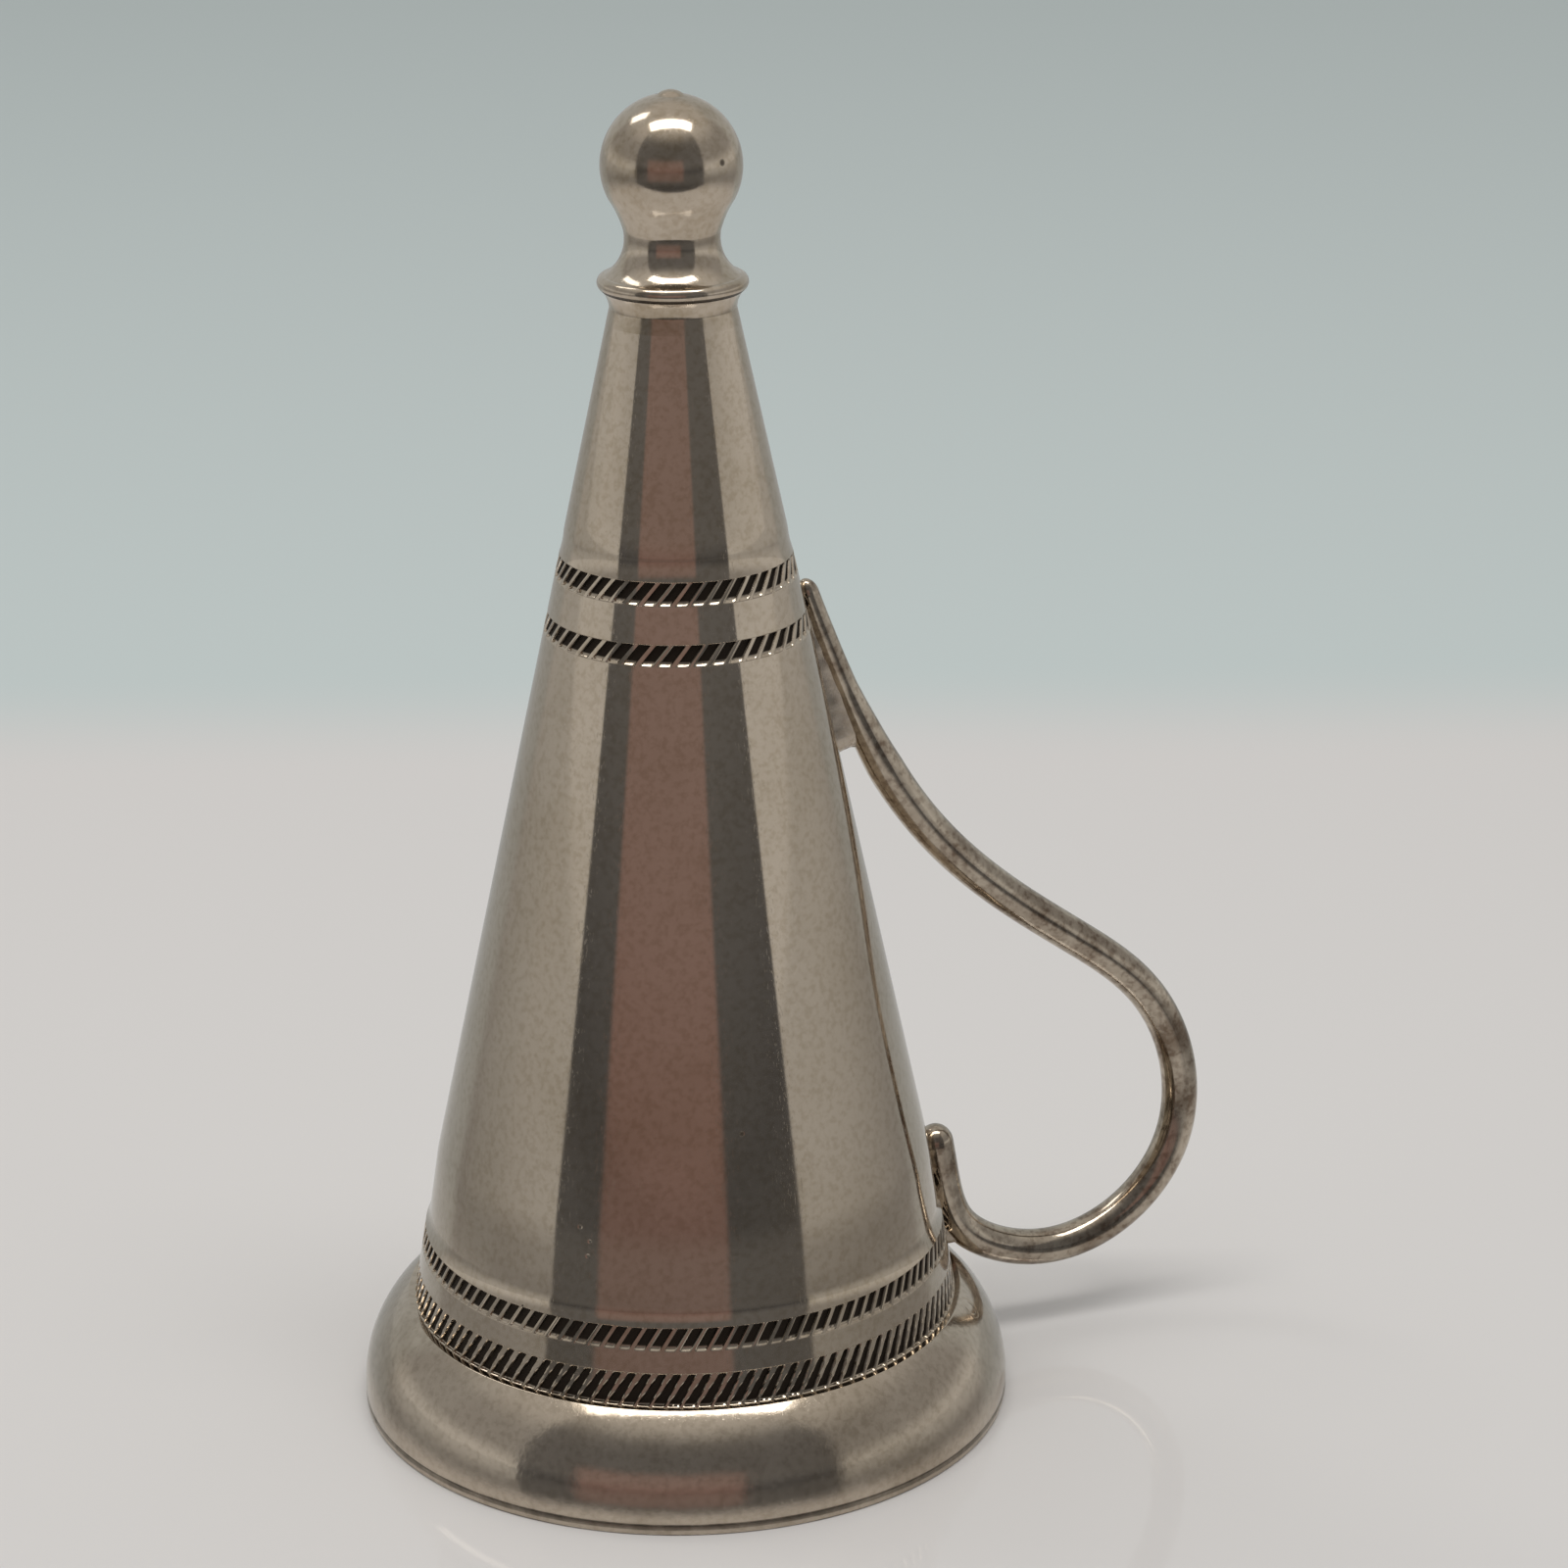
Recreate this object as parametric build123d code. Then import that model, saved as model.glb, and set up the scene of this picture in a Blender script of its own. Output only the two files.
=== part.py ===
"""Cone candle snuffer: a hollow cone on a bulged skirt, with a ball finial and a scrolled wire handle."""
import os
from math import asin, cos, hypot, sin

from build123d import *

# Lengths are millimetres. Z is the cone's axis, Z = 0 is the table and the handle lies along +X.

# Sheet, foot ring and bulged skirt
sheet = 0.7
foot_radius = 18.0
foot_ring_height = 0.55
foot_ring_width = 1.15
foot_edge_round = 0.15
skirt_top = 6.0
skirt_bow = 0.75
skirt_shoulder = 0.35
skirt_ledge = 0.5

# Cone, measured outside
cone_foot_radius = 15.1
base_bands_draft = 0.72
cone_knee_radius = 14.05
cone_hem = 3.1
cone_hem_radius = 13.58
cone_top_radius = 3.5
cone_top = 61.0
seam_width = 0.25

# Knurled bands, from the skirt upwards, with the plain rings between them and the coves above them
knurl_depth = 0.18
base_border = 0.15
base_low_band = 1.65
base_plain_ring = 1.2
base_high_band = 1.25
base_cove = 1.15
base_cove_depth = 0.06
upper_bands_foot = 44.4
upper_low_band = 1.1
upper_plain_ring = 1.95
upper_high_band = 1.2
upper_cove = 1.25
upper_cove_depth = 0.04

# Finial
tang_clearance = 0.6
tang_length = 2.5
ferrule_height = 1.7
ferrule_step = 0.14
ferrule_flare = 0.22
ferrule_hollow = 0.06
lip_overhang = 0.45
lip_thickness = 0.8
neck_radius = 2.5
neck_rise = 1.9
neck_hollow = 0.28
ball_rise = 3.75
ball_radius = 3.69
ball_seat_radius = 2.8
nub_radius = 0.7
nub_height = 0.2

# Handle wire: heights of its lowest run and of its head, and how far it bows out from the cone's side
wire_diameter = 2.06
handle_low = 4.55
handle_head = 46.3
handle_bow = 16.6
# Its centre line from head to tail: share of the height from low to head, share of the bow
handle_route_shares = (
    (1.0, 0.030), (0.911, 0.062), (0.839, 0.097), (0.732, 0.170), (0.627, 0.299), (0.535, 0.490),
    (0.453, 0.721), (0.365, 0.929), (0.246, 1.006), (0.124, 0.927), (0.033, 0.701), (0.0, 0.443),
    (0.014, 0.241), (0.063, 0.094), (0.117, 0.067), (0.208, 0.068),
)
# Its thickness along the way: share of the length, share of the wire's diameter
wire_taper_shares = (
    (0.0, 0.26), (0.004, 0.44), (0.012, 0.58), (0.05, 0.64), (0.10, 0.68), (0.14, 0.86), (0.18, 1.0),
    (0.984, 1.0), (0.990, 0.92), (0.996, 0.70), (1.0, 0.36),
)
wire_sections = 36

# Solder: the ring fillets' leg, the two webs' thickness and the stretch of the wire that each one holds
solder_leg = 0.45
upper_web_thickness = 0.8
upper_web_shares = (0.030, 0.150)
lower_web_thickness = 0.8
lower_web_shares = (0.900, 0.930)
web_steps = 8

# Heights and radii that follow from the sizes above
base_bands_top = skirt_top + base_border + base_low_band + base_plain_ring + base_high_band
cone_knee = base_bands_top + base_cove
hem_top = cone_knee + cone_hem
base_bands_radius = cone_foot_radius - base_bands_draft
upper_bands_top = upper_bands_foot + upper_low_band + upper_plain_ring + upper_high_band
upper_cove_top = upper_bands_top + upper_cove
shoulder_radius = cone_foot_radius + skirt_shoulder
cone_mouth_radius = cone_foot_radius - sheet
ledge_radius = cone_mouth_radius - skirt_ledge
foot_hole_radius = foot_radius - foot_ring_width
tang_radius = cone_top_radius - sheet - tang_clearance
lip_low = cone_top + ferrule_height
lip_top = lip_low + lip_thickness
ball_height = lip_top + neck_rise + ball_rise
# The cone's flush outside, as heights with their radii
cone_side = (
    (skirt_top, cone_foot_radius),
    (base_bands_top, base_bands_radius),
    (cone_knee, cone_knee_radius),
    (hem_top, cone_hem_radius),
    (cone_top, cone_top_radius),
)


def between(value, low, low_result, high, high_result):
    """Straight-line value between two known places."""
    return low_result + (high_result - low_result) * (value - low) / (high - low)


def wall_radius(z):
    """Outside radius of the cone at height z, with its bands and coves left flush."""
    for (low, low_radius), (high, high_radius) in zip(cone_side, cone_side[1:]):
        if z <= high:
            break
    return between(z, low, low_radius, high, high_radius)


def wall_point(z, inset=0):
    """Point of the cone's outside at height z, moved in towards the axis by inset."""
    return (wall_radius(z) - inset, z)


def bowed(start, end, depth):
    """Arc from start to end whose middle stands depth off the chord, to the left of the way along it."""
    run, rise = end[0] - start[0], end[1] - start[1]
    chord = hypot(run, rise)
    middle = ((start[0] + end[0]) / 2 - rise / chord * depth, (start[1] + end[1]) / 2 + run / chord * depth)
    return ThreePointArc(start, middle, end)


def cap(seat, top):
    """Domed cap: the arc from seat up to height top on the axis, level where it meets the axis."""
    rise = top - seat[1]
    radius = (seat[0] ** 2 + rise**2) / (2 * rise)
    half_angle = asin(seat[0] / radius) / 2
    middle = (radius * sin(half_angle), top - radius + radius * cos(half_angle))
    return ThreePointArc(seat, middle, (0, top))


def chain(*points):
    """Straight lines through the points, in order."""
    return [Line(start, end) for start, end in zip(points, points[1:])]


def lathe(*lines):
    """Turn a closed outline, given as radius and height, about the axis."""
    return revolve(Plane.XZ * make_face(lines), Axis.Z)


def turned(*points):
    """Turn a closed polygon, given as radius and height, about the axis."""
    return lathe(*chain(*points, points[0]))


def largest(shape):
    """The largest solid of a shape."""
    return max(shape.solids(), key=lambda solid: solid.volume)


def band_points(low, height):
    """Corners of a knurled band: a shallow recess in the cone's side."""
    high = low + height
    return [wall_point(low), wall_point(low, knurl_depth), wall_point(high, knurl_depth), wall_point(high)]


def cone_outline():
    """Outside of the cone from its lower edge to its top, as lines and arcs."""
    base_low = skirt_top + base_border
    base_high = base_low + base_low_band + base_plain_ring
    upper_high = upper_bands_foot + upper_low_band + upper_plain_ring
    lower = [
        wall_point(skirt_top),
        *band_points(base_low, base_low_band),
        *band_points(base_high, base_high_band),
    ]
    upper = [
        wall_point(cone_knee),
        wall_point(hem_top),
        *band_points(upper_bands_foot, upper_low_band),
        *band_points(upper_high, upper_high_band),
    ]
    return [
        *chain(*lower),
        bowed(wall_point(base_bands_top), wall_point(cone_knee), base_cove_depth),
        *chain(*upper),
        bowed(wall_point(upper_bands_top), wall_point(upper_cove_top), upper_cove_depth),
        Line(wall_point(upper_cove_top), wall_point(cone_top)),
    ]


def whole_cone():
    """The sheet cone as a turned shell, before its seam is let in."""
    inner_side = [wall_point(z, sheet) for z, _ in reversed(cone_side)]
    inside = chain(wall_point(cone_top), *inner_side, wall_point(skirt_top))
    return lathe(*cone_outline(), *inside)


def flush_cone():
    """Solid cone with flush sides, against which the wire is filed."""
    side = [wall_point(z) for z, _ in cone_side]
    return turned((0, skirt_top), *side, (0, cone_top))


def seam_gap():
    """The narrow slot down the cone's +X side that the seam's solder fills."""
    return Box(foot_radius, seam_width, cone_top, align=(Align.MIN, Align.CENTER, Align.MIN))


def base_skirt():
    """Bulged skirt: sheet bowed out from the foot ring to a shoulder, with a ledge for the cone."""
    foot_inside = foot_radius - sheet
    up = skirt_top - foot_ring_height
    outside = bowed((foot_radius, foot_ring_height), (shoulder_radius, skirt_top), -skirt_bow)
    inside = EllipticalCenterArc((ledge_radius, foot_ring_height), foot_inside - ledge_radius, up - sheet)
    ledge = chain((shoulder_radius, skirt_top), (ledge_radius, skirt_top), (ledge_radius, skirt_top - sheet))
    foot_edge = Line((foot_inside, foot_ring_height), (foot_radius, foot_ring_height))
    return lathe(outside, *ledge, inside, foot_edge)


def foot_ring():
    """Flat ring under the skirt with eased outer edges."""
    ring = turned(
        (foot_hole_radius, 0),
        (foot_radius, 0),
        (foot_radius, foot_ring_height),
        (foot_hole_radius, foot_ring_height),
    )
    outer_edges = ring.faces().sort_by(lambda face: face.area).filter_by(GeomType.CYLINDER)[-1].edges()
    return fillet(outer_edges.filter_by(GeomType.CIRCLE), foot_edge_round)


def finial_knob():
    """Cast finial: tang, ferrule, lip, waisted neck, ball and nub in one turned piece."""
    tang_low = cone_top - tang_length
    lip_radius = cone_top_radius + lip_overhang
    lip_half = lip_thickness / 2
    lip_middle = lip_low + lip_half
    lip_shoulder = lip_radius - lip_half
    ferrule_foot = (cone_top_radius - ferrule_step, cone_top)
    ferrule_radius = cone_top_radius + ferrule_flare
    ferrule_top = (ferrule_radius, lip_middle - (lip_half**2 - (ferrule_radius - lip_shoulder) ** 2) ** 0.5)
    flare = (lip_shoulder, lip_top)
    neck = (neck_radius, lip_top + neck_rise)
    ball_seat = (ball_seat_radius, ball_height - (ball_radius**2 - ball_seat_radius**2) ** 0.5)
    ball_side = (ball_radius, ball_height)
    nub_seat = (nub_radius, ball_height + (ball_radius**2 - nub_radius**2) ** 0.5)
    nub_top = ball_height + ball_radius + nub_height
    return lathe(
        *chain((0, tang_low), (tang_radius, tang_low), (tang_radius, cone_top), ferrule_foot),
        bowed(ferrule_foot, ferrule_top, ferrule_hollow),
        ThreePointArc(ferrule_top, (lip_radius, lip_middle), flare),
        bowed(flare, neck, neck_hollow),
        Line(neck, ball_seat),
        ThreePointArc(ball_seat, ball_side, nub_seat),
        cap(nub_seat, nub_top),
        Line((0, nub_top), (0, tang_low)),
    )


def handle_path():
    """Centre line of the handle's wire, from its head on the cone to its upturned tail."""
    points = []
    for rise_share, bow_share in handle_route_shares:
        z = handle_low + rise_share * (handle_head - handle_low)
        points.append((wall_radius(z) + bow_share * handle_bow, 0, z))
    return Spline(*points)


def wire_radius(length_share):
    """Half the wire's thickness at a share of its length."""
    for (low, low_share), (high, high_share) in zip(wire_taper_shares, wire_taper_shares[1:]):
        if length_share <= high:
            break
    return between(length_share, low, low_share, high, high_share) * wire_diameter / 2


def handle_wire(path):
    """Tapering round wire along the scroll, filed flat where it lies on the cone."""
    stations = {share for share, _ in wire_taper_shares}
    stations |= {step / wire_sections for step in range(wire_sections + 1)}
    rings = []
    for share in sorted(stations):
        plane = Plane(origin=path @ share, x_dir=(0, 1, 0), z_dir=path % share)
        rings.append(plane * Circle(wire_radius(share)))
    return largest(loft(rings) - flush_cone())


def handle_solder(path, shares, thickness, wire, cone):
    """Web of solder between the cone's side and one stretch of the wire."""
    first, last = shares
    middle_line = [path @ between(step, 0, first, web_steps, last) for step in range(web_steps + 1)]
    in_wall = [(wall_radius(point.Z) - sheet / 2, 0, point.Z) for point in reversed(middle_line)]
    outline = make_face(Polyline(*middle_line, *in_wall, close=True))
    return largest(extrude(outline, thickness / 2, dir=(0, 1, 0), both=True) - wire - cone)


def finial_solder(cone, knob):
    """Ring of solder round the tang, inside the cone's top."""
    low = cone_top - tang_length
    ring = turned(
        (tang_radius, low),
        (cone_top_radius, low),
        (cone_top_radius, cone_top),
        (tang_radius, cone_top),
    )
    return largest(ring - cone - knob)


def corner_solder(radius, z, leg, neighbours):
    """Ring fillet in an inside corner at the given radius and height, fitted to its neighbours."""
    overlap = sheet / 2
    ring = turned((radius - leg, z), (radius + overlap, z), (radius + overlap, z + leg), (radius, z + leg))
    for neighbour in neighbours:
        ring -= neighbour
    return largest(ring)


def main():
    """Build every piece and write its file."""
    cone = whole_cone()
    skirt = base_skirt()
    foot = foot_ring()
    knob = finial_knob()
    path = handle_path()
    wire = handle_wire(path)
    pieces = {
        "finial_knob": knob,
        "cone_shell": cone - seam_gap(),
        "cone_seam": cone & seam_gap(),
        "base_skirt": skirt,
        "foot_ring": foot,
        "handle_wire": wire,
        "upper_handle_solder": handle_solder(path, upper_web_shares, upper_web_thickness, wire, cone),
        "lower_handle_solder": handle_solder(path, lower_web_shares, lower_web_thickness, wire, cone),
        "finial_solder": finial_solder(cone, knob),
        "skirt_solder": corner_solder(cone_mouth_radius, skirt_top, solder_leg, [cone, skirt]),
        "foot_solder": corner_solder(foot_radius - sheet, foot_ring_height, solder_leg, [skirt, foot]),
    }
    os.makedirs("parts", exist_ok=True)
    for name, shape in pieces.items():
        export_step(shape, f"parts/{name}.step")
        print(name, len(shape.solids()), round(shape.volume, 3))


main()
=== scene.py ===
"""Looks of the cone candle snuffer: turned silver, knurled bands, a scrolled handle and a plain studio."""
import logging
from dataclasses import dataclass, field
from enum import Enum
from math import asin, cos, hypot, pi, radians, sin, sqrt, tan

import bmesh
import bpy
import numpy as np
from mathutils import Matrix, Vector, noise


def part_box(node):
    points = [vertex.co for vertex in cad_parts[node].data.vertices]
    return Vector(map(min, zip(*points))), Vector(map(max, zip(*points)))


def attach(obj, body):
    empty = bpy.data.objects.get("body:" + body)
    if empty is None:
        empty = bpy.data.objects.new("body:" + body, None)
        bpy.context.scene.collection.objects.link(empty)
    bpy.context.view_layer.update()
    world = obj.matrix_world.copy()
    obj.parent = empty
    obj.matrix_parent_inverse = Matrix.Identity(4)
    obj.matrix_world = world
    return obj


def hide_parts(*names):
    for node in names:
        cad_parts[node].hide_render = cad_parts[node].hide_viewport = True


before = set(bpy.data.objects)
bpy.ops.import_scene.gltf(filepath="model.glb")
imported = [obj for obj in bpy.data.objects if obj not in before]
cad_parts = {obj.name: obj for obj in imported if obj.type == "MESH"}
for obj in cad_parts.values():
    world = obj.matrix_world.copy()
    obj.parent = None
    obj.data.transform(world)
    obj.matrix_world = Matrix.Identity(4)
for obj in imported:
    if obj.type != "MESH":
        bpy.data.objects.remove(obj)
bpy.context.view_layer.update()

LOG = logging.getLogger("snuffer")
BODY = "root"
RECESS = "recess"
Colour = tuple[float, float, float]
Pair = tuple[float, float]
Socket = bpy.types.NodeSocket


class Slot(Enum):
    """Material slots of the part's record."""

    SHEET = "sheet_silver"
    CAST = "cast_silver"
    WIRE = "wire_silver"
    SOLDER = "silver_solder"


class Graph:
    """A node tree in the making, with short calls that add and join its nodes."""

    def __init__(self, tree: bpy.types.NodeTree) -> None:
        """Keep the tree that the nodes go into."""
        self.tree = tree

    def add(self, kind: str, inputs: dict | None = None, **settings: object) -> bpy.types.Node:
        """Add a node.

        Args:
            kind: Blender's name for the type of node.
            inputs: a value or another node's socket for each input, by its name or number.
            settings: the node's own properties.

        Returns:
            The new node.
        """
        node = self.tree.nodes.new(kind)
        for name, value in settings.items():
            setattr(node, name, value)
        for key, value in (inputs or {}).items():
            if isinstance(value, Socket):
                self.tree.links.new(value, node.inputs[key])
            else:
                node.inputs[key].default_value = value
        return node

    def math(self, operation: str, *values: object) -> Socket:
        """Result of a Math node on the given values or sockets."""
        return self.add("ShaderNodeMath", dict(enumerate(values)), operation=operation).outputs[0]

    def smooth(self, value: object, low: object, high: object, to: Pair = (0.0, 1.0)) -> Socket:
        """Smooth step of a value between two limits.

        Args:
            value: what is stepped.
            low: where the step begins.
            high: where the step ends.
            to: the results at the two ends.

        Returns:
            The socket of the stepped value.
        """
        inputs = {"Value": value, "From Min": low, "From Max": high, "To Min": to[0], "To Max": to[1]}
        return self.add("ShaderNodeMapRange", inputs, interpolation_type="SMOOTHSTEP").outputs[0]

    def blend(self, share: object, first: object, second: object) -> Socket:
        """Plain mix of two numbers by a share."""
        return self.add("ShaderNodeMix", {0: share, 2: first, 3: second}).outputs[0]

    def tint(self, share: object, first: object, second: object) -> Socket:
        """Mix of two colours by a share."""
        colours = [(*c, 1.0) if isinstance(c, tuple) else c for c in (first, second)]
        inputs = {0: share, 6: colours[0], 7: colours[1]}
        return self.add("ShaderNodeMix", inputs, data_type="RGBA").outputs[2]

    def noise(self, where: Socket, scale: float, detail: float = 2.0, rough: float = 0.5) -> Socket:
        """Noise from 0 to 1 at a place, with its scale in features to the metre."""
        inputs = {"Vector": where, "Scale": scale, "Detail": detail, "Roughness": rough}
        return self.add("ShaderNodeTexNoise", inputs).outputs[0]

    def moved(self, where: Socket, turn: Colour, scale: Colour) -> Socket:
        """Coordinates turned and then stretched by a Mapping node."""
        inputs = {"Vector": where, "Rotation": turn, "Scale": scale}
        return self.add("ShaderNodeMapping", inputs, vector_type="TEXTURE").outputs[0]


@dataclass(frozen=True)
class Mark:
    """One mark of wear: a round pit, or a bent dent that is open towards one side."""

    place: Colour
    radius: float
    width: float
    dirt: float = 0.0
    gap: Colour = (0.0, 0.0, 0.0)
    core_share: float = 0.3
    gap_share: float = 0.4

    def share(self, graph: Graph, where: Socket) -> Socket:
        """Share of the mark at each place.

        Args:
            graph: the material's nodes.
            where: the object's coordinates.

        Returns:
            The socket of the share.
        """
        apart = graph.add("ShaderNodeVectorMath", {0: where, 1: self.place}, operation="SUBTRACT").outputs[0]
        far = graph.add("ShaderNodeVectorMath", {0: apart}, operation="LENGTH").outputs["Value"]
        off = graph.math("ABSOLUTE", graph.math("SUBTRACT", far, self.radius))
        mark = graph.smooth(off, self.core_share * self.width, self.width, (1.0, 0.0))
        side = graph.add("ShaderNodeVectorMath", {0: apart, 1: self.gap}, operation="DOT_PRODUCT")
        whole = graph.smooth(side.outputs["Value"], 0.0, self.gap_share * self.radius, (1.0, 0.0))
        return graph.math("MULTIPLY", mark, whole)


@dataclass(frozen=True)
class SilverFinish:
    """Silver as it wears: tarnish in clouds, dark recesses (patina, and painted shade where a profile marks
    it), scratches, pits and a fine grain.
    """

    name: str
    clean: Colour = (0.57, 0.495, 0.405)
    tarnish: Colour = (0.36, 0.29, 0.20)
    # Dark colour of the recesses: real patina, and painted shade under the finial's lip
    patina_and_shade: Colour = (0.035, 0.028, 0.022)
    roughness: float = 0.045
    cloud_scale: float = 90.0
    cloud_share: float = 0.35
    grain_scale: float = 5200.0
    grain_height: float = 0.03
    scratch_height: float = 0.05
    speckle_scale: float = 2600.0
    speckle_share: float = 0.35
    nick_scale: float = 240.0
    nick_share: float = 0.10
    pit_scale: float = 330.0
    pit_share: float = 0.10
    peel_scale: float = 900.0
    peel_height: float = 0.06
    relief: float = 2.0e-5
    bump_strength: float = 0.6
    scratch_size: Pair = (9.0e-5, 7.0e-3)
    scratch_soft: float = 0.05
    # Turn of each set of scratches and the noise level where they begin
    scratch_sets: tuple[tuple[Colour, float], ...] = (
        ((0.0, 0.0, 0.0), 0.66), ((0.5, 0.35, 0.0), 0.72), ((-0.7, 0.2, 0.9), 0.73),
    )
    nick_turn: Colour = (0.5, 0.4, 0.9)
    nick_stretch: Colour = (1.0, 1.0, 2.6)
    nick_limits: Pair = (0.01, 0.05)
    pit_sizes: Pair = (0.02, 0.06)
    pit_core: float = 0.5
    pit_dirt: float = 0.85
    cloud_limits: Pair = (0.40, 0.75)
    speckle_limits: Pair = (0.42, 0.68)
    dirt_and_shade_limits: Pair = (0.30, 1.05)
    dirt_mottle: float = 0.35
    dirt_and_shade_roughness: float = 0.55
    cloud_roughness: float = 0.03
    scratch_roughness: float = 0.06
    grain_roughness: float = 0.03
    marks: tuple[Mark, ...] = ()

    def scratches(self, graph: Graph, where: Socket) -> Socket:
        """Fine lines in a few directions.

        Args:
            graph: the material's nodes.
            where: the object's coordinates.

        Returns:
            The share of scratch at each place.
        """
        lines = None
        thin, long = self.scratch_size
        for turn, low in self.scratch_sets:
            lay = graph.moved(where, turn, (thin, thin, long))
            line = graph.smooth(graph.noise(lay, 1.0, 1.0), low, low + self.scratch_soft)
            lines = line if lines is None else graph.math("MAXIMUM", lines, line)
        return lines

    def pits(self, graph: Graph, where: Socket) -> Socket:
        """Small round pits in some of the cells of a cell pattern.

        Args:
            graph: the material's nodes.
            where: the object's coordinates.

        Returns:
            The share of pit at each place.
        """
        cells = graph.add("ShaderNodeTexVoronoi", {"Vector": where, "Scale": self.pit_scale})
        chosen = graph.add("ShaderNodeSeparateColor", {0: cells.outputs["Color"]})
        kept = graph.math("LESS_THAN", chosen.outputs[0], self.pit_share)
        size = graph.blend(chosen.outputs[1], *self.pit_sizes)
        core = graph.math("MULTIPLY", size, self.pit_core)
        hole = graph.smooth(cells.outputs["Distance"], core, size, (1.0, 0.0))
        return graph.math("MULTIPLY", kept, hole)

    def nicks(self, graph: Graph, where: Socket) -> Socket:
        """Short shallow nicks in some of the cells of a stretched cell pattern.

        Args:
            graph: the material's nodes.
            where: the object's coordinates.

        Returns:
            The share of nick at each place.
        """
        lay = graph.moved(where, self.nick_turn, self.nick_stretch)
        cells = graph.add("ShaderNodeTexVoronoi", {"Vector": lay, "Scale": self.nick_scale})
        chosen = graph.add("ShaderNodeSeparateColor", {0: cells.outputs["Color"]})
        kept = graph.math("LESS_THAN", chosen.outputs[2], self.nick_share)
        hole = graph.smooth(cells.outputs["Distance"], *self.nick_limits, (1.0, 0.0))
        return graph.math("MULTIPLY", kept, hole)

    def material(self) -> bpy.types.Material:
        """Build the finish.

        Returns:
            The new material.
        """
        material = bpy.data.materials.new(self.name)
        material.use_nodes = True
        graph = Graph(material.node_tree)
        shader = material.node_tree.nodes["Principled BSDF"]
        shader.inputs["Metallic"].default_value = 1.0
        where = graph.add("ShaderNodeTexCoord").outputs["Object"]
        recess = graph.add("ShaderNodeAttribute", attribute_name=RECESS).outputs["Fac"]
        clouds = graph.smooth(graph.noise(where, self.cloud_scale, 6.0, 0.6), *self.cloud_limits)
        mottle = graph.noise(where, self.peel_scale, 3.0, 0.55)
        grain = graph.noise(where, self.grain_scale, 3.0, 0.7)
        lines = self.scratches(graph, where)
        pits = self.pits(graph, where)
        holes = graph.math("MAXIMUM", pits, self.nicks(graph, where))
        for mark in self.marks:
            share = mark.share(graph, where)
            holes = graph.math("MAXIMUM", holes, share)
            pits = graph.math("MAXIMUM", pits, graph.math("MULTIPLY", share, mark.dirt))
        # The recess mark darkens towards the dark colour: patina in the knurl cuts and inside, darker
        # corners, and painted shade under the finial's lip; mottled dirt is added to it.
        darkness = graph.math("ADD", recess, graph.math("MULTIPLY", mottle, self.dirt_mottle))
        dirt = graph.smooth(darkness, *self.dirt_and_shade_limits)
        dark = graph.math("MAXIMUM", dirt, graph.math("MULTIPLY", pits, self.pit_dirt))
        speckle = graph.smooth(graph.noise(where, self.speckle_scale, 3.0, 0.6), *self.speckle_limits)
        dull = graph.math("MULTIPLY", clouds, self.cloud_share)
        dull = graph.math("MULTIPLY_ADD", speckle, self.speckle_share, dull)
        worn = graph.tint(dull, self.clean, self.tarnish)
        graph.tree.links.new(graph.tint(dark, worn, self.patina_and_shade), shader.inputs["Base Color"])
        rough = self.roughness
        shares = (self.cloud_roughness, self.scratch_roughness, self.grain_roughness)
        for pattern, share in zip((clouds, lines, grain), shares):
            rough = graph.math("ADD", rough, graph.math("MULTIPLY", pattern, share))
        graph.tree.links.new(graph.blend(dark, rough, self.dirt_and_shade_roughness), shader.inputs["Roughness"])
        height = graph.math("MULTIPLY", grain, self.grain_height)
        height = graph.math("ADD", height, graph.math("MULTIPLY", mottle, self.peel_height))
        height = graph.math("SUBTRACT", height, graph.math("MULTIPLY", lines, self.scratch_height))
        height = graph.math("SUBTRACT", height, holes)
        inputs = {"Height": height, "Distance": self.relief, "Strength": self.bump_strength}
        bump = graph.add("ShaderNodeBump", inputs)
        graph.tree.links.new(bump.outputs[0], shader.inputs["Normal"])
        return material


SHEET_FINISH = SilverFinish("polished_sheet_silver", marks=(
    Mark((-0.009182, -0.009791, 0.015224), 1.0e-5, 1.6e-4),
    Mark((-0.008823, -0.010311, 0.014542), 1.0e-5, 1.4e-4),
    Mark((-0.008962, -0.010356, 0.013735), 1.0e-5, 1.6e-4),
    Mark((-0.000995, -0.012285, 0.020290), 1.0e-5, 1.7e-4, 0.9),
))
SKIRT_FINISH = SilverFinish(
    "hand_worked_sheet_silver", tarnish=(0.25, 0.20, 0.14), peel_height=1.0, roughness=0.10,
    cloud_scale=160.0, cloud_share=0.45, speckle_share=0.25, pit_share=0.25,
    marks=(Mark((0.014150, -0.007750, 0.005600), 6.0e-4, 1.8e-4, gap=(0.67, -0.23, 0.70)),),
)
CAST_FINISH = SilverFinish(
    "cast_silver", pit_share=0.2, cloud_scale=260.0, cloud_share=0.6, peel_height=0.5, roughness=0.10,
    marks=(
        Mark((0.001603, -0.003271, 0.069732), 1.0e-5, 2.4e-4, 0.9),
        Mark((-0.001686, -0.003424, 0.063367), 1.0e-5, 2.2e-4),
    ),
)
WIRE_FINISH = SilverFinish(
    "drawn_silver_wire", clean=(0.52, 0.455, 0.37), tarnish=(0.20, 0.15, 0.11), cloud_scale=330.0,
    cloud_share=0.85, speckle_share=0.5, pit_share=0.35, peel_height=0.5, roughness=0.09,
)
SOLDER_FINISH = SilverFinish(
    "silver_solder", clean=(0.50, 0.44, 0.37), roughness=0.25, pit_scale=1500.0, pit_share=0.35,
    peel_height=1.6,
)


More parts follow.
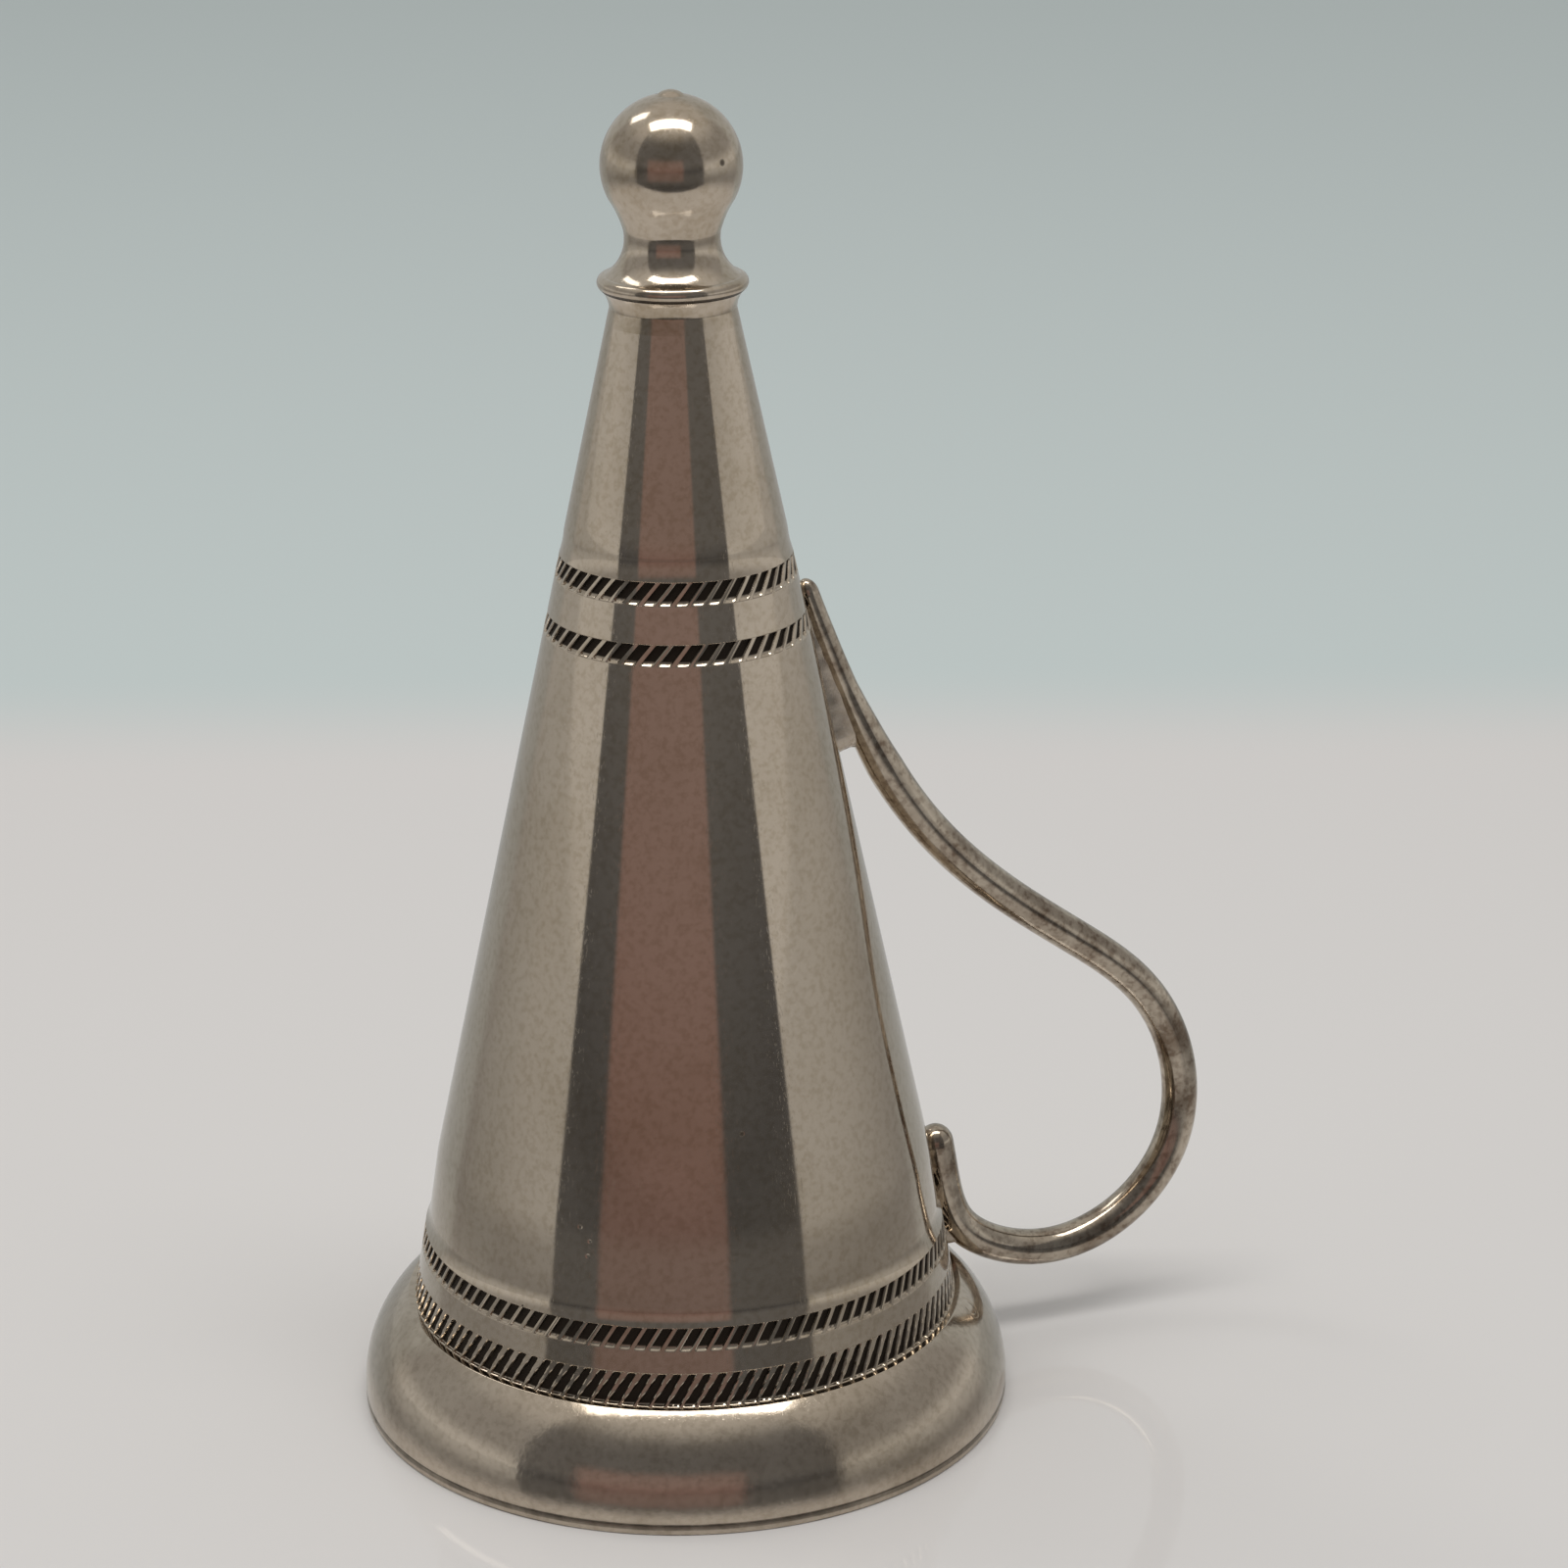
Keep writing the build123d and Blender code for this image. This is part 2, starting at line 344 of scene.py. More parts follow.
class NodeForm:
    """A Geometry Nodes tree with named inputs that makes the mesh of a piece from a simple line."""

    title = "form"
    sizes: dict[str, str] = {}
    crease = radians(40.0)

    def __init__(self) -> None:
        self.tree = bpy.data.node_groups.new(self.title, "GeometryNodeTree")
        self.graph = Graph(self.tree)
        kinds = {"Line": "NodeSocketGeometry", **self.sizes, "Material": "NodeSocketMaterial"}
        self.names = {
            name: self.tree.interface.new_socket(name, in_out="INPUT", socket_type=kind).identifier
            for name, kind in kinds.items()
        }
        self.tree.interface.new_socket("Piece", in_out="OUTPUT", socket_type="NodeSocketGeometry")
        self.given = self.graph.add("NodeGroupInput").outputs
        self.finish(self.shape())

    def shape(self) -> Socket:
        """Build the nodes of the form and return its geometry."""
        raise NotImplementedError

    def finish(self, geometry: Socket) -> None:
        """Shade the form smooth with creases, then realize it and give it its material.

        Args:
            geometry: the form's finished geometry.
        """
        graph = self.graph
        smooth = graph.add("GeometryNodeSetShadeSmooth", {"Geometry": geometry}).outputs[0]
        angle = graph.add("GeometryNodeInputMeshEdgeAngle").outputs["Unsigned Angle"]
        sharp = graph.math("GREATER_THAN", angle, self.crease)
        inputs = {"Geometry": smooth, "Selection": sharp, "Shade Smooth": False}
        creased = graph.add("GeometryNodeSetShadeSmooth", inputs, domain="EDGE").outputs[0]
        real = graph.add("GeometryNodeRealizeInstances", {"Geometry": creased}).outputs[0]
        dressed = graph.add("GeometryNodeSetMaterial", {"Geometry": real, "Material": self.given["Material"]})
        graph.add("NodeGroupOutput", {0: dressed.outputs[0]})

    def marked(self, attribute: str, row: Socket) -> Socket:
        """Value of a named attribute of the line at one of its points."""
        value = self.graph.add("GeometryNodeInputNamedAttribute", {"Name": attribute}).outputs[0]
        inputs = {"Geometry": self.given["Line"], "Value": value, "Index": row}
        return self.graph.add("GeometryNodeSampleIndex", inputs).outputs[0]

    def make(self, line: bpy.types.Object, material: bpy.types.Material, **sizes: float) -> bpy.types.Object:
        """Run the tree on a line and keep the result as a plain mesh.

        Args:
            line: the object that holds the line, which becomes the piece.
            material: the piece's material.
            sizes: the tree's inputs, with underscores for the spaces in their names.

        Returns:
            The finished piece.
        """
        modifier = line.modifiers.new(self.title, "NODES")
        modifier.node_group = self.tree
        modifier[self.names["Material"]] = material
        for name, value in sizes.items():
            modifier[self.names[name.replace("_", " ")]] = value
        depsgraph = bpy.context.evaluated_depsgraph_get()
        mesh = bpy.data.meshes.new_from_object(line.evaluated_get(depsgraph), depsgraph=depsgraph)
        line.modifiers.remove(modifier)
        line.data = mesh
        return line


class TurnedForm(NodeForm):
    """Turns a profile about the axis, with the slight wander of handwork in its surface."""

    title = "turned_profile"
    sizes = {
        "Segments": "NodeSocketInt",
        "Wander": "NodeSocketFloat",
        "Wander size": "NodeSocketFloat",
        "Seed": "NodeSocketInt",
    }
    weld = 1.0e-6

    def worked(self, column: Socket, row: Socket, spot: tuple[Socket, Socket, Socket]) -> tuple[Socket, ...]:
        """Angle, radius and darkening of a point before the wander is added; the darkening is patina in some
        places and painted shade in others.

        Args:
            column: number of the point's column round the axis.
            row: number of the point's row along the profile.
            spot: the profile's radius, height and darkening at that row.

        Returns:
            The sockets of the angle, the radius and the darkening.
        """
        turn = self.graph.math("DIVIDE", column, self.given["Segments"])
        return self.graph.math("MULTIPLY", turn, 2 * pi), spot[0], spot[2]

    def shape(self) -> Socket:
        """Lay a grid round the axis and close its seam and poles."""
        graph, given = self.graph, self.given
        size = graph.add("GeometryNodeAttributeDomainSize", {0: given["Line"]}).outputs["Point Count"]
        columns = graph.math("ADD", given["Segments"], 1)
        grid = graph.add("GeometryNodeMeshGrid", {"Vertices X": columns, "Vertices Y": size}).outputs["Mesh"]
        index = graph.add("GeometryNodeInputIndex").outputs[0]
        column = graph.math("FLOOR", graph.math("DIVIDE", graph.math("ADD", index, 0.5), size))
        row = graph.math("FLOORED_MODULO", index, size)
        position = graph.add("GeometryNodeInputPosition").outputs[0]
        inputs = {"Geometry": given["Line"], "Value": position, "Index": row}
        place = graph.add("GeometryNodeSampleIndex", inputs, data_type="FLOAT_VECTOR").outputs[0]
        spot = graph.add("ShaderNodeSeparateXYZ", {0: place}).outputs
        angle, radius, recess = self.worked(column, row, (spot[0], spot[2], self.marked(RECESS, row)))
        around = (graph.math("COSINE", angle), graph.math("SINE", angle))
        true = [graph.math("MULTIPLY", radius, share) for share in around]
        true_place = graph.add("ShaderNodeCombineXYZ", {0: true[0], 1: true[1], 2: spot[2]}).outputs[0]
        inputs = {"Vector": true_place, "W": given["Seed"], "Scale": given["Wander size"], "Detail": 1.0}
        drift = graph.add("ShaderNodeTexNoise", inputs, noise_dimensions="4D").outputs[0]
        offset = graph.math("MULTIPLY", graph.math("SUBTRACT", drift, 0.5), given["Wander"])
        away = graph.math("MULTIPLY", offset, graph.smooth(radius, 0.0, 0.001))
        wide = graph.math("ADD", radius, away)
        made = [graph.math("MULTIPLY", wide, share) for share in around]
        final = graph.add("ShaderNodeCombineXYZ", {0: made[0], 1: made[1], 2: spot[2]}).outputs[0]
        laid = graph.add("GeometryNodeSetPosition", {"Geometry": grid, "Position": final}).outputs[0]
        inputs = {"Geometry": laid, "Name": RECESS, "Value": recess}
        stored = graph.add("GeometryNodeStoreNamedAttribute", inputs).outputs[0]
        inputs = {"Geometry": stored, "Distance": self.weld}
        return graph.add("GeometryNodeMergeByDistance", inputs).outputs[0]


class KnurledForm(TurnedForm):
    """Turned ring with slanting cuts: the grid's columns follow the strokes, with ridges between them."""

    title = "knurled_ring"
    sizes = {
        **TurnedForm.sizes,
        "Columns": "NodeSocketInt",
        "Height": "NodeSocketFloat",
        "Depth": "NodeSocketFloat",
        "Slant": "NodeSocketFloat",
        "Ridge low": "NodeSocketFloat",
        "Ridge high": "NodeSocketFloat",
        "Fade low": "NodeSocketFloat",
        "Fade high": "NodeSocketFloat",
        "Floor low": "NodeSocketFloat",
        "Uneven": "NodeSocketFloat",
    }
    wall_share = 0.09
    floor_rise = 0.8

    def chance(self, stroke: Socket, shift: int) -> Socket:
        """Random number from -1 to 1 for a stroke."""
        seed = self.graph.math("ADD", self.given["Seed"], shift)
        inputs = {"Min": -1.0, "Max": 1.0, "ID": stroke, "Seed": seed}
        node = self.graph.add("FunctionNodeRandomValue", data_type="FLOAT")
        for name, value in inputs.items():
            socket = next(s for s in node.inputs if s.name == name and s.enabled)
            if isinstance(value, Socket):
                self.tree.links.new(value, socket)
            else:
                socket.default_value = value
        return next(s for s in node.outputs if s.enabled)

    def worked(self, column: Socket, row: Socket, spot: tuple[Socket, Socket, Socket]) -> tuple[Socket, ...]:
        """Slant the columns and cut the strokes; see the plain turned form for the arguments and results."""
        graph, given = self.graph, self.given
        rise, face = self.marked("rise", row), self.marked("face", row)
        along = graph.math("DIVIDE", column, given["Columns"])
        strokes = graph.math("DIVIDE", given["Segments"], given["Columns"])
        stroke = graph.math("FLOORED_MODULO", graph.math("FLOOR", along), strokes)
        phase = graph.math("FRACT", along)
        first, second = self.chance(stroke, 0), self.chance(stroke, 1)
        angle, radius, recess = super().worked(column, row, spot)
        lean = graph.math("MULTIPLY", graph.math("MULTIPLY", given["Slant"], given["Height"]), rise)
        angle = graph.math("ADD", angle, graph.math("DIVIDE", lean, radius))
        width = graph.blend(rise, given["Ridge low"], given["Ridge high"])
        vary = graph.math("ADD", 1.0, graph.math("MULTIPLY", first, given["Uneven"]))
        half = graph.math("MULTIPLY", graph.math("MULTIPLY", width, vary), 0.5)
        aside = graph.math("ABSOLUTE", graph.math("SUBTRACT", phase, 0.5))
        cut = graph.smooth(aside, half, graph.math("ADD", half, self.wall_share))
        floor = graph.blend(graph.smooth(rise, 0.0, self.floor_rise), given["Floor low"], 1.0)
        foot = graph.smooth(rise, 0.0, given["Fade low"])
        head = graph.smooth(rise, graph.math("SUBTRACT", 1.0, given["Fade high"]), 1.0, (1.0, 0.0))
        cut = graph.math("MULTIPLY", graph.math("MULTIPLY", cut, face), graph.math("MULTIPLY", foot, head))
        deep = graph.math("ADD", 1.0, graph.math("MULTIPLY", second, given["Uneven"]))
        full = graph.math("MULTIPLY", given["Depth"], deep)
        depth = graph.math("MULTIPLY", full, graph.math("MULTIPLY", cut, floor))
        darkness = graph.smooth(rise, given["Fade low"], graph.math("MULTIPLY", given["Fade low"], 2.0))
        dirt = graph.math("MAXIMUM", recess, graph.math("MULTIPLY", graph.math("SQRT", cut), darkness))
        return angle, graph.math("SUBTRACT", radius, depth), dirt


class WireForm(NodeForm):
    """Round wire along a line, as thick as the line says, filed flat where it would enter the cone."""

    title = "tapered_wire"
    levels = ("Foot", "Bands", "Knee", "Hem", "Top")
    sizes = {
        "Sides": "NodeSocketInt",
        **{f"{level} {size}": "NodeSocketFloat" for level in levels for size in ("height", "radius")},
    }

    def wall(self, height: Socket) -> Socket:
        """Radius of the cone's side at a height, by straight runs from level to level.

        Args:
            height: the height asked for.

        Returns:
            The socket of the radius.
        """
        graph, given = self.graph, self.given
        radius = given[f"{self.levels[0]} radius"]
        for low, high in zip(self.levels, self.levels[1:]):
            change = graph.math("SUBTRACT", given[f"{high} radius"], given[f"{low} radius"])
            ends = {"From Min": given[f"{low} height"], "From Max": given[f"{high} height"]}
            share = graph.add("ShaderNodeMapRange", {"Value": height, **ends}).outputs[0]
            radius = graph.math("MULTIPLY_ADD", share, change, radius)
        return radius

    def shape(self) -> Socket:
        """Sweep the round section along the line, then file it."""
        graph, given = self.graph, self.given
        curve = graph.add("GeometryNodeMeshToCurve", {0: given["Line"]}).outputs[0]
        thick = graph.add("GeometryNodeInputNamedAttribute", {"Name": "thickness"}).outputs[0]
        ring = graph.add("GeometryNodeCurvePrimitiveCircle", {"Resolution": given["Sides"], "Radius": 1.0})
        inputs = {"Curve": curve, "Profile Curve": ring.outputs[0], "Scale": thick, "Fill Caps": True}
        swept = graph.add("GeometryNodeCurveToMesh", inputs).outputs[0]
        position = graph.add("GeometryNodeInputPosition").outputs[0]
        at = graph.add("ShaderNodeSeparateXYZ", {0: position}).outputs
        wall = self.wall(at[2])
        squares = [graph.math("MULTIPLY", at[axis], at[axis]) for axis in (0, 1)]
        reach = graph.math("SQRT", graph.math("ADD", *squares))
        grow = graph.math("DIVIDE", graph.math("MAXIMUM", reach, wall), reach)
        filed = {axis: graph.math("MULTIPLY", at[axis], grow) for axis in (0, 1)}
        place = graph.add("ShaderNodeCombineXYZ", {**filed, 2: at[2]}).outputs[0]
        return graph.add("GeometryNodeSetPosition", {"Geometry": swept, "Position": place}).outputs[0]


@dataclass(frozen=True)
class Spot:
    """A point of a profile: radius, height, ease of its corner, darkening (patina in some places, painted
    shade under the finial's lip), and its place on a band.
    """

    radius: float
    height: float
    ease: float = 0.0
    recess: float = 0.0
    rise: float = 0.0
    face: float = 0.0

    @property
    def place(self) -> Vector:
        """Radius and height as a vector."""
        return Vector((self.radius, self.height))

    def at(self, place: Vector) -> "Spot":
        """The same marks at another place, with no corner."""
        return Spot(place.x, place.y, 0.0, self.recess, self.rise, self.face)


@dataclass
class Outline:
    """A profile to be turned, running up the outside and down the inside."""

    spots: list[Spot] = field(default_factory=list)
    closed: bool = True
    row: float = 0.0009
    ease_steps: int = 4

    def corner(self, radius: float, height: float, ease: float = 4.0e-5, recess: float = 0.0) -> None:
        """Add a corner that is eased by a small round."""
        self.spots.append(Spot(radius, height, ease, recess))

    def run(self, points: list[Pair], recess: float = 0.0) -> None:
        """Add the points of a smooth run."""
        self.spots += [Spot(radius, height, 0.0, recess) for radius, height in points]

    def eased(self, before: Spot, spot: Spot, after: Spot) -> list[Spot]:
        """Round one corner, with a row close beside it on each side.

        Args:
            before: the point before the corner.
            spot: the corner.
            after: the point after the corner.

        Returns:
            The points that take the corner's place.
        """
        most = 0.2
        back, on = before.place - spot.place, after.place - spot.place
        start = back.normalized() * min(spot.ease, most * back.length)
        end = on.normalized() * min(spot.ease, most * on.length)
        steps = [step / self.ease_steps for step in range(self.ease_steps + 1)]
        bend = [spot.place + start * (1 - t) ** 2 + end * t**2 for t in steps]
        return [spot.at(p) for p in (spot.place + 2 * start, *bend, spot.place + 2 * end)]

    def rows(self) -> list[Spot]:
        """All points of the profile, with corners eased and long runs divided."""
        count, eased = len(self.spots), []
        for number, spot in enumerate(self.spots):
            if spot.ease:
                eased += self.eased(self.spots[number - 1], spot, self.spots[(number + 1) % count])
            else:
                eased.append(spot)
        if self.closed:
            eased.append(eased[0])
        rows = [eased[0]]
        for last, spot in zip(eased, eased[1:]):
            parts = max(1, round((spot.place - last.place).length / self.row))
            for part in range(1, parts):
                rows.append(last.at(last.place.lerp(spot.place, part / parts)))
            rows.append(spot)
        return rows

    def line(self, name: str) -> bpy.types.Object:
        """The profile as an object that holds its points and their marks."""
        rows = self.rows()
        marks = {mark: [getattr(spot, mark) for spot in rows] for mark in (RECESS, "rise", "face")}
        return line_object(name, [(spot.radius, 0.0, spot.height) for spot in rows], marks)


def line_object(
    name: str, points: list[tuple[float, float, float]], marks: dict[str, list[float]]
) -> bpy.types.Object:
    """Make an object of points joined in order, with a number for each mark at each point.

    Args:
        name: the object's name.
        points: its points.
        marks: the numbers by the mark's name.

    Returns:
        The new object, in the scene.
    """
    mesh = bpy.data.meshes.new(name)
    mesh.from_pydata(points, [(i, i + 1) for i in range(len(points) - 1)], [])
    for mark, values in marks.items():
        mesh.attributes.new(mark, "FLOAT", "POINT").data.foreach_set("value", values)
    return placed(name, mesh)


def placed(name: str, mesh: bpy.types.Mesh) -> bpy.types.Object:
    """Put a mesh into the scene as an object at the origin."""
    piece = bpy.data.objects.new(name, mesh)
    bpy.context.scene.collection.objects.link(piece)
    return piece


def settle(piece: bpy.types.Object, slot: Slot, *nodes: str) -> None:
    """Tie a finished piece to the part and report it.

    Args:
        piece: the finished piece.
        slot: the record's slot that its finish comes from; not used.
        nodes: the CAD nodes that it stands for.
    """
    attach(piece, BODY)
    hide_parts(*nodes)
    LOG.info("%s: %d faces for %s", piece.name, len(piece.data.polygons), ", ".join(nodes))


def bowed(start: Pair, end: Pair, depth: float, steps: int = 10) -> list[Pair]:
    """Points of the arc from start to end whose middle stands off the chord, to the left of the way along it.

    Args:
        start: first point.
        end: last point.
        depth: how far the middle stands off.
        steps: number of parts.

    Returns:
        The arc's points, with both ends.
    """
    run, rise = end[0] - start[0], end[1] - start[1]
    chord = hypot(run, rise)
    middle = ((start[0] + end[0]) / 2 - rise / chord * depth, (start[1] + end[1]) / 2 + run / chord * depth)
    return arc_through(start, middle, end, steps)


def arc_through(start: Pair, middle: Pair, end: Pair, steps: int = 16) -> list[Pair]:
    """Points of the circular arc through three points.

    Args:
        start: first point.
        middle: a point on the arc.
        end: last point.
        steps: number of parts.

    Returns:
        The arc's points, with both ends.
    """
    a, b, c = (complex(*point) for point in (start, middle, end))
    ratio = (c - a) / (b - a)
    centre = (b - a) * (ratio - abs(ratio) ** 2) / (ratio - ratio.conjugate()) + a
    half = np.angle((b - centre) / (a - centre))
    sweep = half + np.angle((c - centre) / (b - centre))
    turned = [centre + (a - centre) * np.exp(1j * sweep * step / steps) for step in range(steps + 1)]
    return [(float(point.real), float(point.imag)) for point in turned]


def eased_bend(start: Pair, corner: Pair, end: Pair, steps: int = 10) -> list[Pair]:
    """Points of the smooth bend from start to end that a corner draws towards it.

    Args:
        start: where the bend begins.
        corner: the point that draws it.
        end: last point.
        steps: number of parts.

    Returns:
        The bend's points, without the start.
    """
    points = []
    for step in range(1, steps + 1):
        t, b = step / steps, 1 - step / steps
        points.append(tuple(b * b * s + 2 * t * b * c + t * t * e for s, c, e in zip(start, corner, end)))
    return points


def ellipse_quarter(centre: Pair, across: float, up: float, steps: int = 40) -> list[Pair]:
    """Points of a quarter ellipse from its side to its top."""
    angles = [pi / 2 * step / steps for step in range(steps + 1)]
    return [(centre[0] + across * cos(angle), centre[1] + up * sin(angle)) for angle in angles]


@dataclass
class Turnery:
    """The lathe work: the trees that turn the profiles, and the wander that all pieces share."""

    segments: int = 192
    wander: float = 1.0e-5
    wander_scale: float = 110.0
    seed: int = 7
    plain: TurnedForm = field(default_factory=TurnedForm)
    knurl: KnurledForm = field(default_factory=KnurledForm)

    def turn(self, name: str, outline: Outline, material: bpy.types.Material) -> bpy.types.Object:
        """Turn an outline into a piece."""
        sizes = {"Wander": self.wander, "Wander_size": self.wander_scale, "Seed": self.seed}
        return self.plain.make(outline.line(name), material, Segments=self.segments, **sizes)


@dataclass(frozen=True)
class Band:
    """A knurled band: where it lies and how its strokes are cut."""

    name: str
    low: float
    height: float
    strokes: int
    lean: float
    ridge_low: float = 0.26
    ridge_high: float = 0.26
    fade_low: float = 0.12
    fade_high: float = 0.07
    floor_low: float = 0.7
    seed: int = 1


@dataclass
class Cone:
    """The rolled sheet cone with its knurled bands, coves and soldered seam."""

    foot: float = field(default_factory=lambda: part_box("cone_shell")[0].z)
    top: float = field(default_factory=lambda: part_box("cone_shell")[1].z)
    foot_radius: float = field(default_factory=lambda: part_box("cone_shell")[1].y)
    bands_top: float = 0.01025
    bands_top_radius: float = 0.01438
    knee: float = 0.0114
    knee_radius: float = 0.01405
    hem: float = 0.0145
    hem_radius: float = 0.01358
    top_radius: float = 0.0035
    sheet: float = 0.0007
    cove_depth: float = 0.00006
    upper_cove: float = 0.00125
    upper_cove_depth: float = 0.00004
    knurl_depth: float = 0.00018
    cut_share: float = 0.88
    ring_share: float = 1.4
    band_rows: int = 18
    columns: int = 14
    uneven: float = 0.12
    bands: tuple[Band, ...] = (
        Band("base_low_knurl", 0.00602, 0.00178, 116, 31.0, 0.14, 0.50, 0.04, 0.08, 1.0, 11),
        Band("base_high_knurl", 0.0090, 0.00125, 112, 31.0, seed=12),
        Band("upper_low_knurl", 0.0444, 0.0011, 47, 38.0, seed=13),
        Band("upper_high_knurl", 0.04745, 0.0012, 47, 38.0, seed=14),
    )
    seam_width: float = 0.00025
    seam_proud: float = 1.5e-5

    @property
    def heights(self) -> tuple[float, ...]:
        """Heights of the side's levels."""
        return self.foot, self.bands_top, self.knee, self.hem, self.top

    @property
    def radii(self) -> tuple[float, ...]:
        """Outside radii at the side's levels."""
        return self.foot_radius, self.bands_top_radius, self.knee_radius, self.hem_radius, self.top_radius

    def wall(self, height: float, inset: float = 0.0) -> Pair:
        """Point of the flush outside at a height; the lowest run goes on below the foot.

        Args:
            height: the height asked for.
            inset: how far the point is moved in.

        Returns:
            The point's radius and height.
        """
        slope = (self.radii[1] - self.radii[0]) / (self.heights[1] - self.heights[0])
        below = slope * min(0.0, height - self.foot)
        return float(np.interp(height, self.heights, self.radii)) + below - inset, height

    def outside(self) -> Outline:
        """Outside of the cone, with recesses for the bands and the coves above the pairs."""
        outline = Outline()
        outline.corner(*self.wall(self.foot), recess=0.3)
        for number, band in enumerate(self.bands):
            high = band.low + band.height
            for height, inset in ((band.low, 0.0), (band.low, 1.0), (high, 1.0), (high, 0.0)):
                outline.corner(*self.wall(height, inset * self.knurl_depth), ease=2.0e-5)
            if number % 2:
                upper = number > 1
                end = high + self.upper_cove if upper else self.knee
                depth = self.upper_cove_depth if upper else self.cove_depth
                outline.run(bowed(self.wall(high), self.wall(end), depth)[1:])
            if number == 1:
                outline.run([self.wall(self.hem)])
        outline.run([self.wall(self.top)])
        return outline

    def build(self, turnery: Turnery, material: bpy.types.Material) -> None:
        """Turn the shell and its bands.

        Args:
            turnery: the lathe work.
            material: the sheet's material.
        """
        outline = self.outside()
        for height in reversed(self.heights):
            outline.corner(*self.wall(height, self.sheet), recess=0.35)
        settle(turnery.turn("silver_cone", outline, material), Slot.SHEET, "cone_shell")
        for band in self.bands:
            settle(self.ring(band, turnery, material), Slot.SHEET, "cone_shell")

    def ring(self, band: Band, turnery: Turnery, material: bpy.types.Material) -> bpy.types.Object:
        """Make one knurled ring as a closed piece that fills its recess.

        Args:
            band: the band's place and strokes.
            turnery: the lathe work.
            material: the sheet's material.

        Returns:
            The finished ring.
        """
        outline, inset = Outline(row=band.height), self.ring_share * self.knurl_depth
        for row in range(self.band_rows + 1):
            rise = 0.5 - 0.5 * cos(pi * row / self.band_rows)
            radius, height = self.wall(band.low + rise * band.height)
            outline.spots.append(Spot(radius, height, rise=rise, face=1.0))
        for rise in (1.0, 0.0):
            radius, height = self.wall(band.low + rise * band.height, inset)
            outline.spots.append(Spot(radius, height, rise=rise))
        return turnery.knurl.make(
            outline.line(band.name), material, Segments=band.strokes * self.columns, Columns=self.columns,
            Wander=turnery.wander, Wander_size=turnery.wander_scale, Seed=turnery.seed,
            Height=band.height, Depth=self.cut_share * self.knurl_depth, Slant=tan(radians(band.lean)),
            Ridge_low=band.ridge_low, Ridge_high=band.ridge_high, Fade_low=band.fade_low,
            Fade_high=band.fade_high, Floor_low=band.floor_low, Uneven=self.uneven,
        )

    def build_seam(self, material: bpy.types.Material) -> None:
        """Lay the soldered seam as a slim strip through the sheet on the handle's side."""
        outside = [spot.place for spot in self.outside().rows()[:-1]]
        rings = []
        for place in outside:
            inner = self.wall(place.y, self.sheet)[0] - self.seam_proud
            outer, half = place.x + self.seam_proud, self.seam_width / 2
            flush = outer - self.seam_proud
            section = [(inner, -half), (flush, -half), (outer, 0.0), (flush, half), (inner, half)]
            rings.append([(x, y, place.y) for x, y in section])
        settle(lofted("seam_strip", rings, material), Slot.SOLDER, "cone_seam")


def lofted(
    name: str, rings: list[list[tuple[float, float, float]]], material: bpy.types.Material
) -> bpy.types.Object:
    """Join rings of points into a closed piece with capped ends.

    Args:
        name: the piece's name.
        rings: the points of each ring, as many in each.
        material: the piece's material.

    Returns:
        The finished piece.
    """
    around = len(rings[0])
    points = [point for ring in rings for point in ring]
    last = (len(rings) - 1) * around
    faces = []
    for low in range(0, last, around):
        high = low + around
        for this in range(around):
            after = (this + 1) % around
            faces.append((low + this, low + after, high + after, high + this))
    faces += [tuple(range(around)), tuple(range(last, last + around))]
    mesh = bpy.data.meshes.new(name)
    mesh.from_pydata(points, [], faces)
    solid = bmesh.new()
    solid.from_mesh(mesh)
    bmesh.ops.remove_doubles(solid, verts=solid.verts, dist=1.0e-7)
    bmesh.ops.recalc_face_normals(solid, faces=solid.faces)
    solid.to_mesh(mesh)
    solid.free()
    mesh.shade_smooth()
    mesh.materials.append(material)
    return placed(name, mesh)


@dataclass
class Base:
    """The bulged skirt and the flat ring that it stands on."""

    foot_radius: float = field(default_factory=lambda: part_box("foot_ring")[1].y)
    ring_height: float = field(default_factory=lambda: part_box("foot_ring")[1].z)
    top: float = field(default_factory=lambda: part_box("base_skirt")[1].z)
    ring_width: float = 0.00115
    ring_ease: float = 0.00015
    bow: float = 0.00075
    shoulder_radius: float = 0.01545
    ledge_radius: float = 0.0139
    sheet: float = 0.0007

    def build(self, turnery: Turnery, material: bpy.types.Material) -> None:
        """Turn the skirt and the foot ring.

        Args:
            turnery: the lathe work.
            material: the skirt's material.
        """
        inside = self.foot_radius - self.sheet
        up = self.top - self.ring_height
        skirt = Outline()
        skirt.corner(inside, self.ring_height, recess=0.3)
        skirt.corner(self.foot_radius, self.ring_height, recess=0.6)
        bulge = bowed((self.foot_radius, self.ring_height), (self.shoulder_radius, self.top), -self.bow, 40)
        skirt.run(bulge[1:-1])
        skirt.corner(*bulge[-1])
        skirt.corner(self.ledge_radius, self.top, recess=0.2)
        skirt.corner(self.ledge_radius, self.top - self.sheet, recess=0.3)
        centre = (self.ledge_radius, self.ring_height)
        hollow = ellipse_quarter(centre, inside - self.ledge_radius, up - self.sheet)
        skirt.run(hollow[-2:0:-1], recess=0.3)
        settle(turnery.turn("silver_skirt", skirt, material), Slot.SHEET, "base_skirt")
        ring, hole = Outline(), self.foot_radius - self.ring_width
        ring.corner(hole, 0.0, recess=0.3)
        ring.corner(self.foot_radius, 0.0, ease=self.ring_ease)
        ring.corner(self.foot_radius, self.ring_height, ease=self.ring_ease, recess=0.5)
        ring.corner(hole, self.ring_height, recess=0.3)
        settle(turnery.turn("silver_foot_ring", ring, material), Slot.SHEET, "foot_ring")


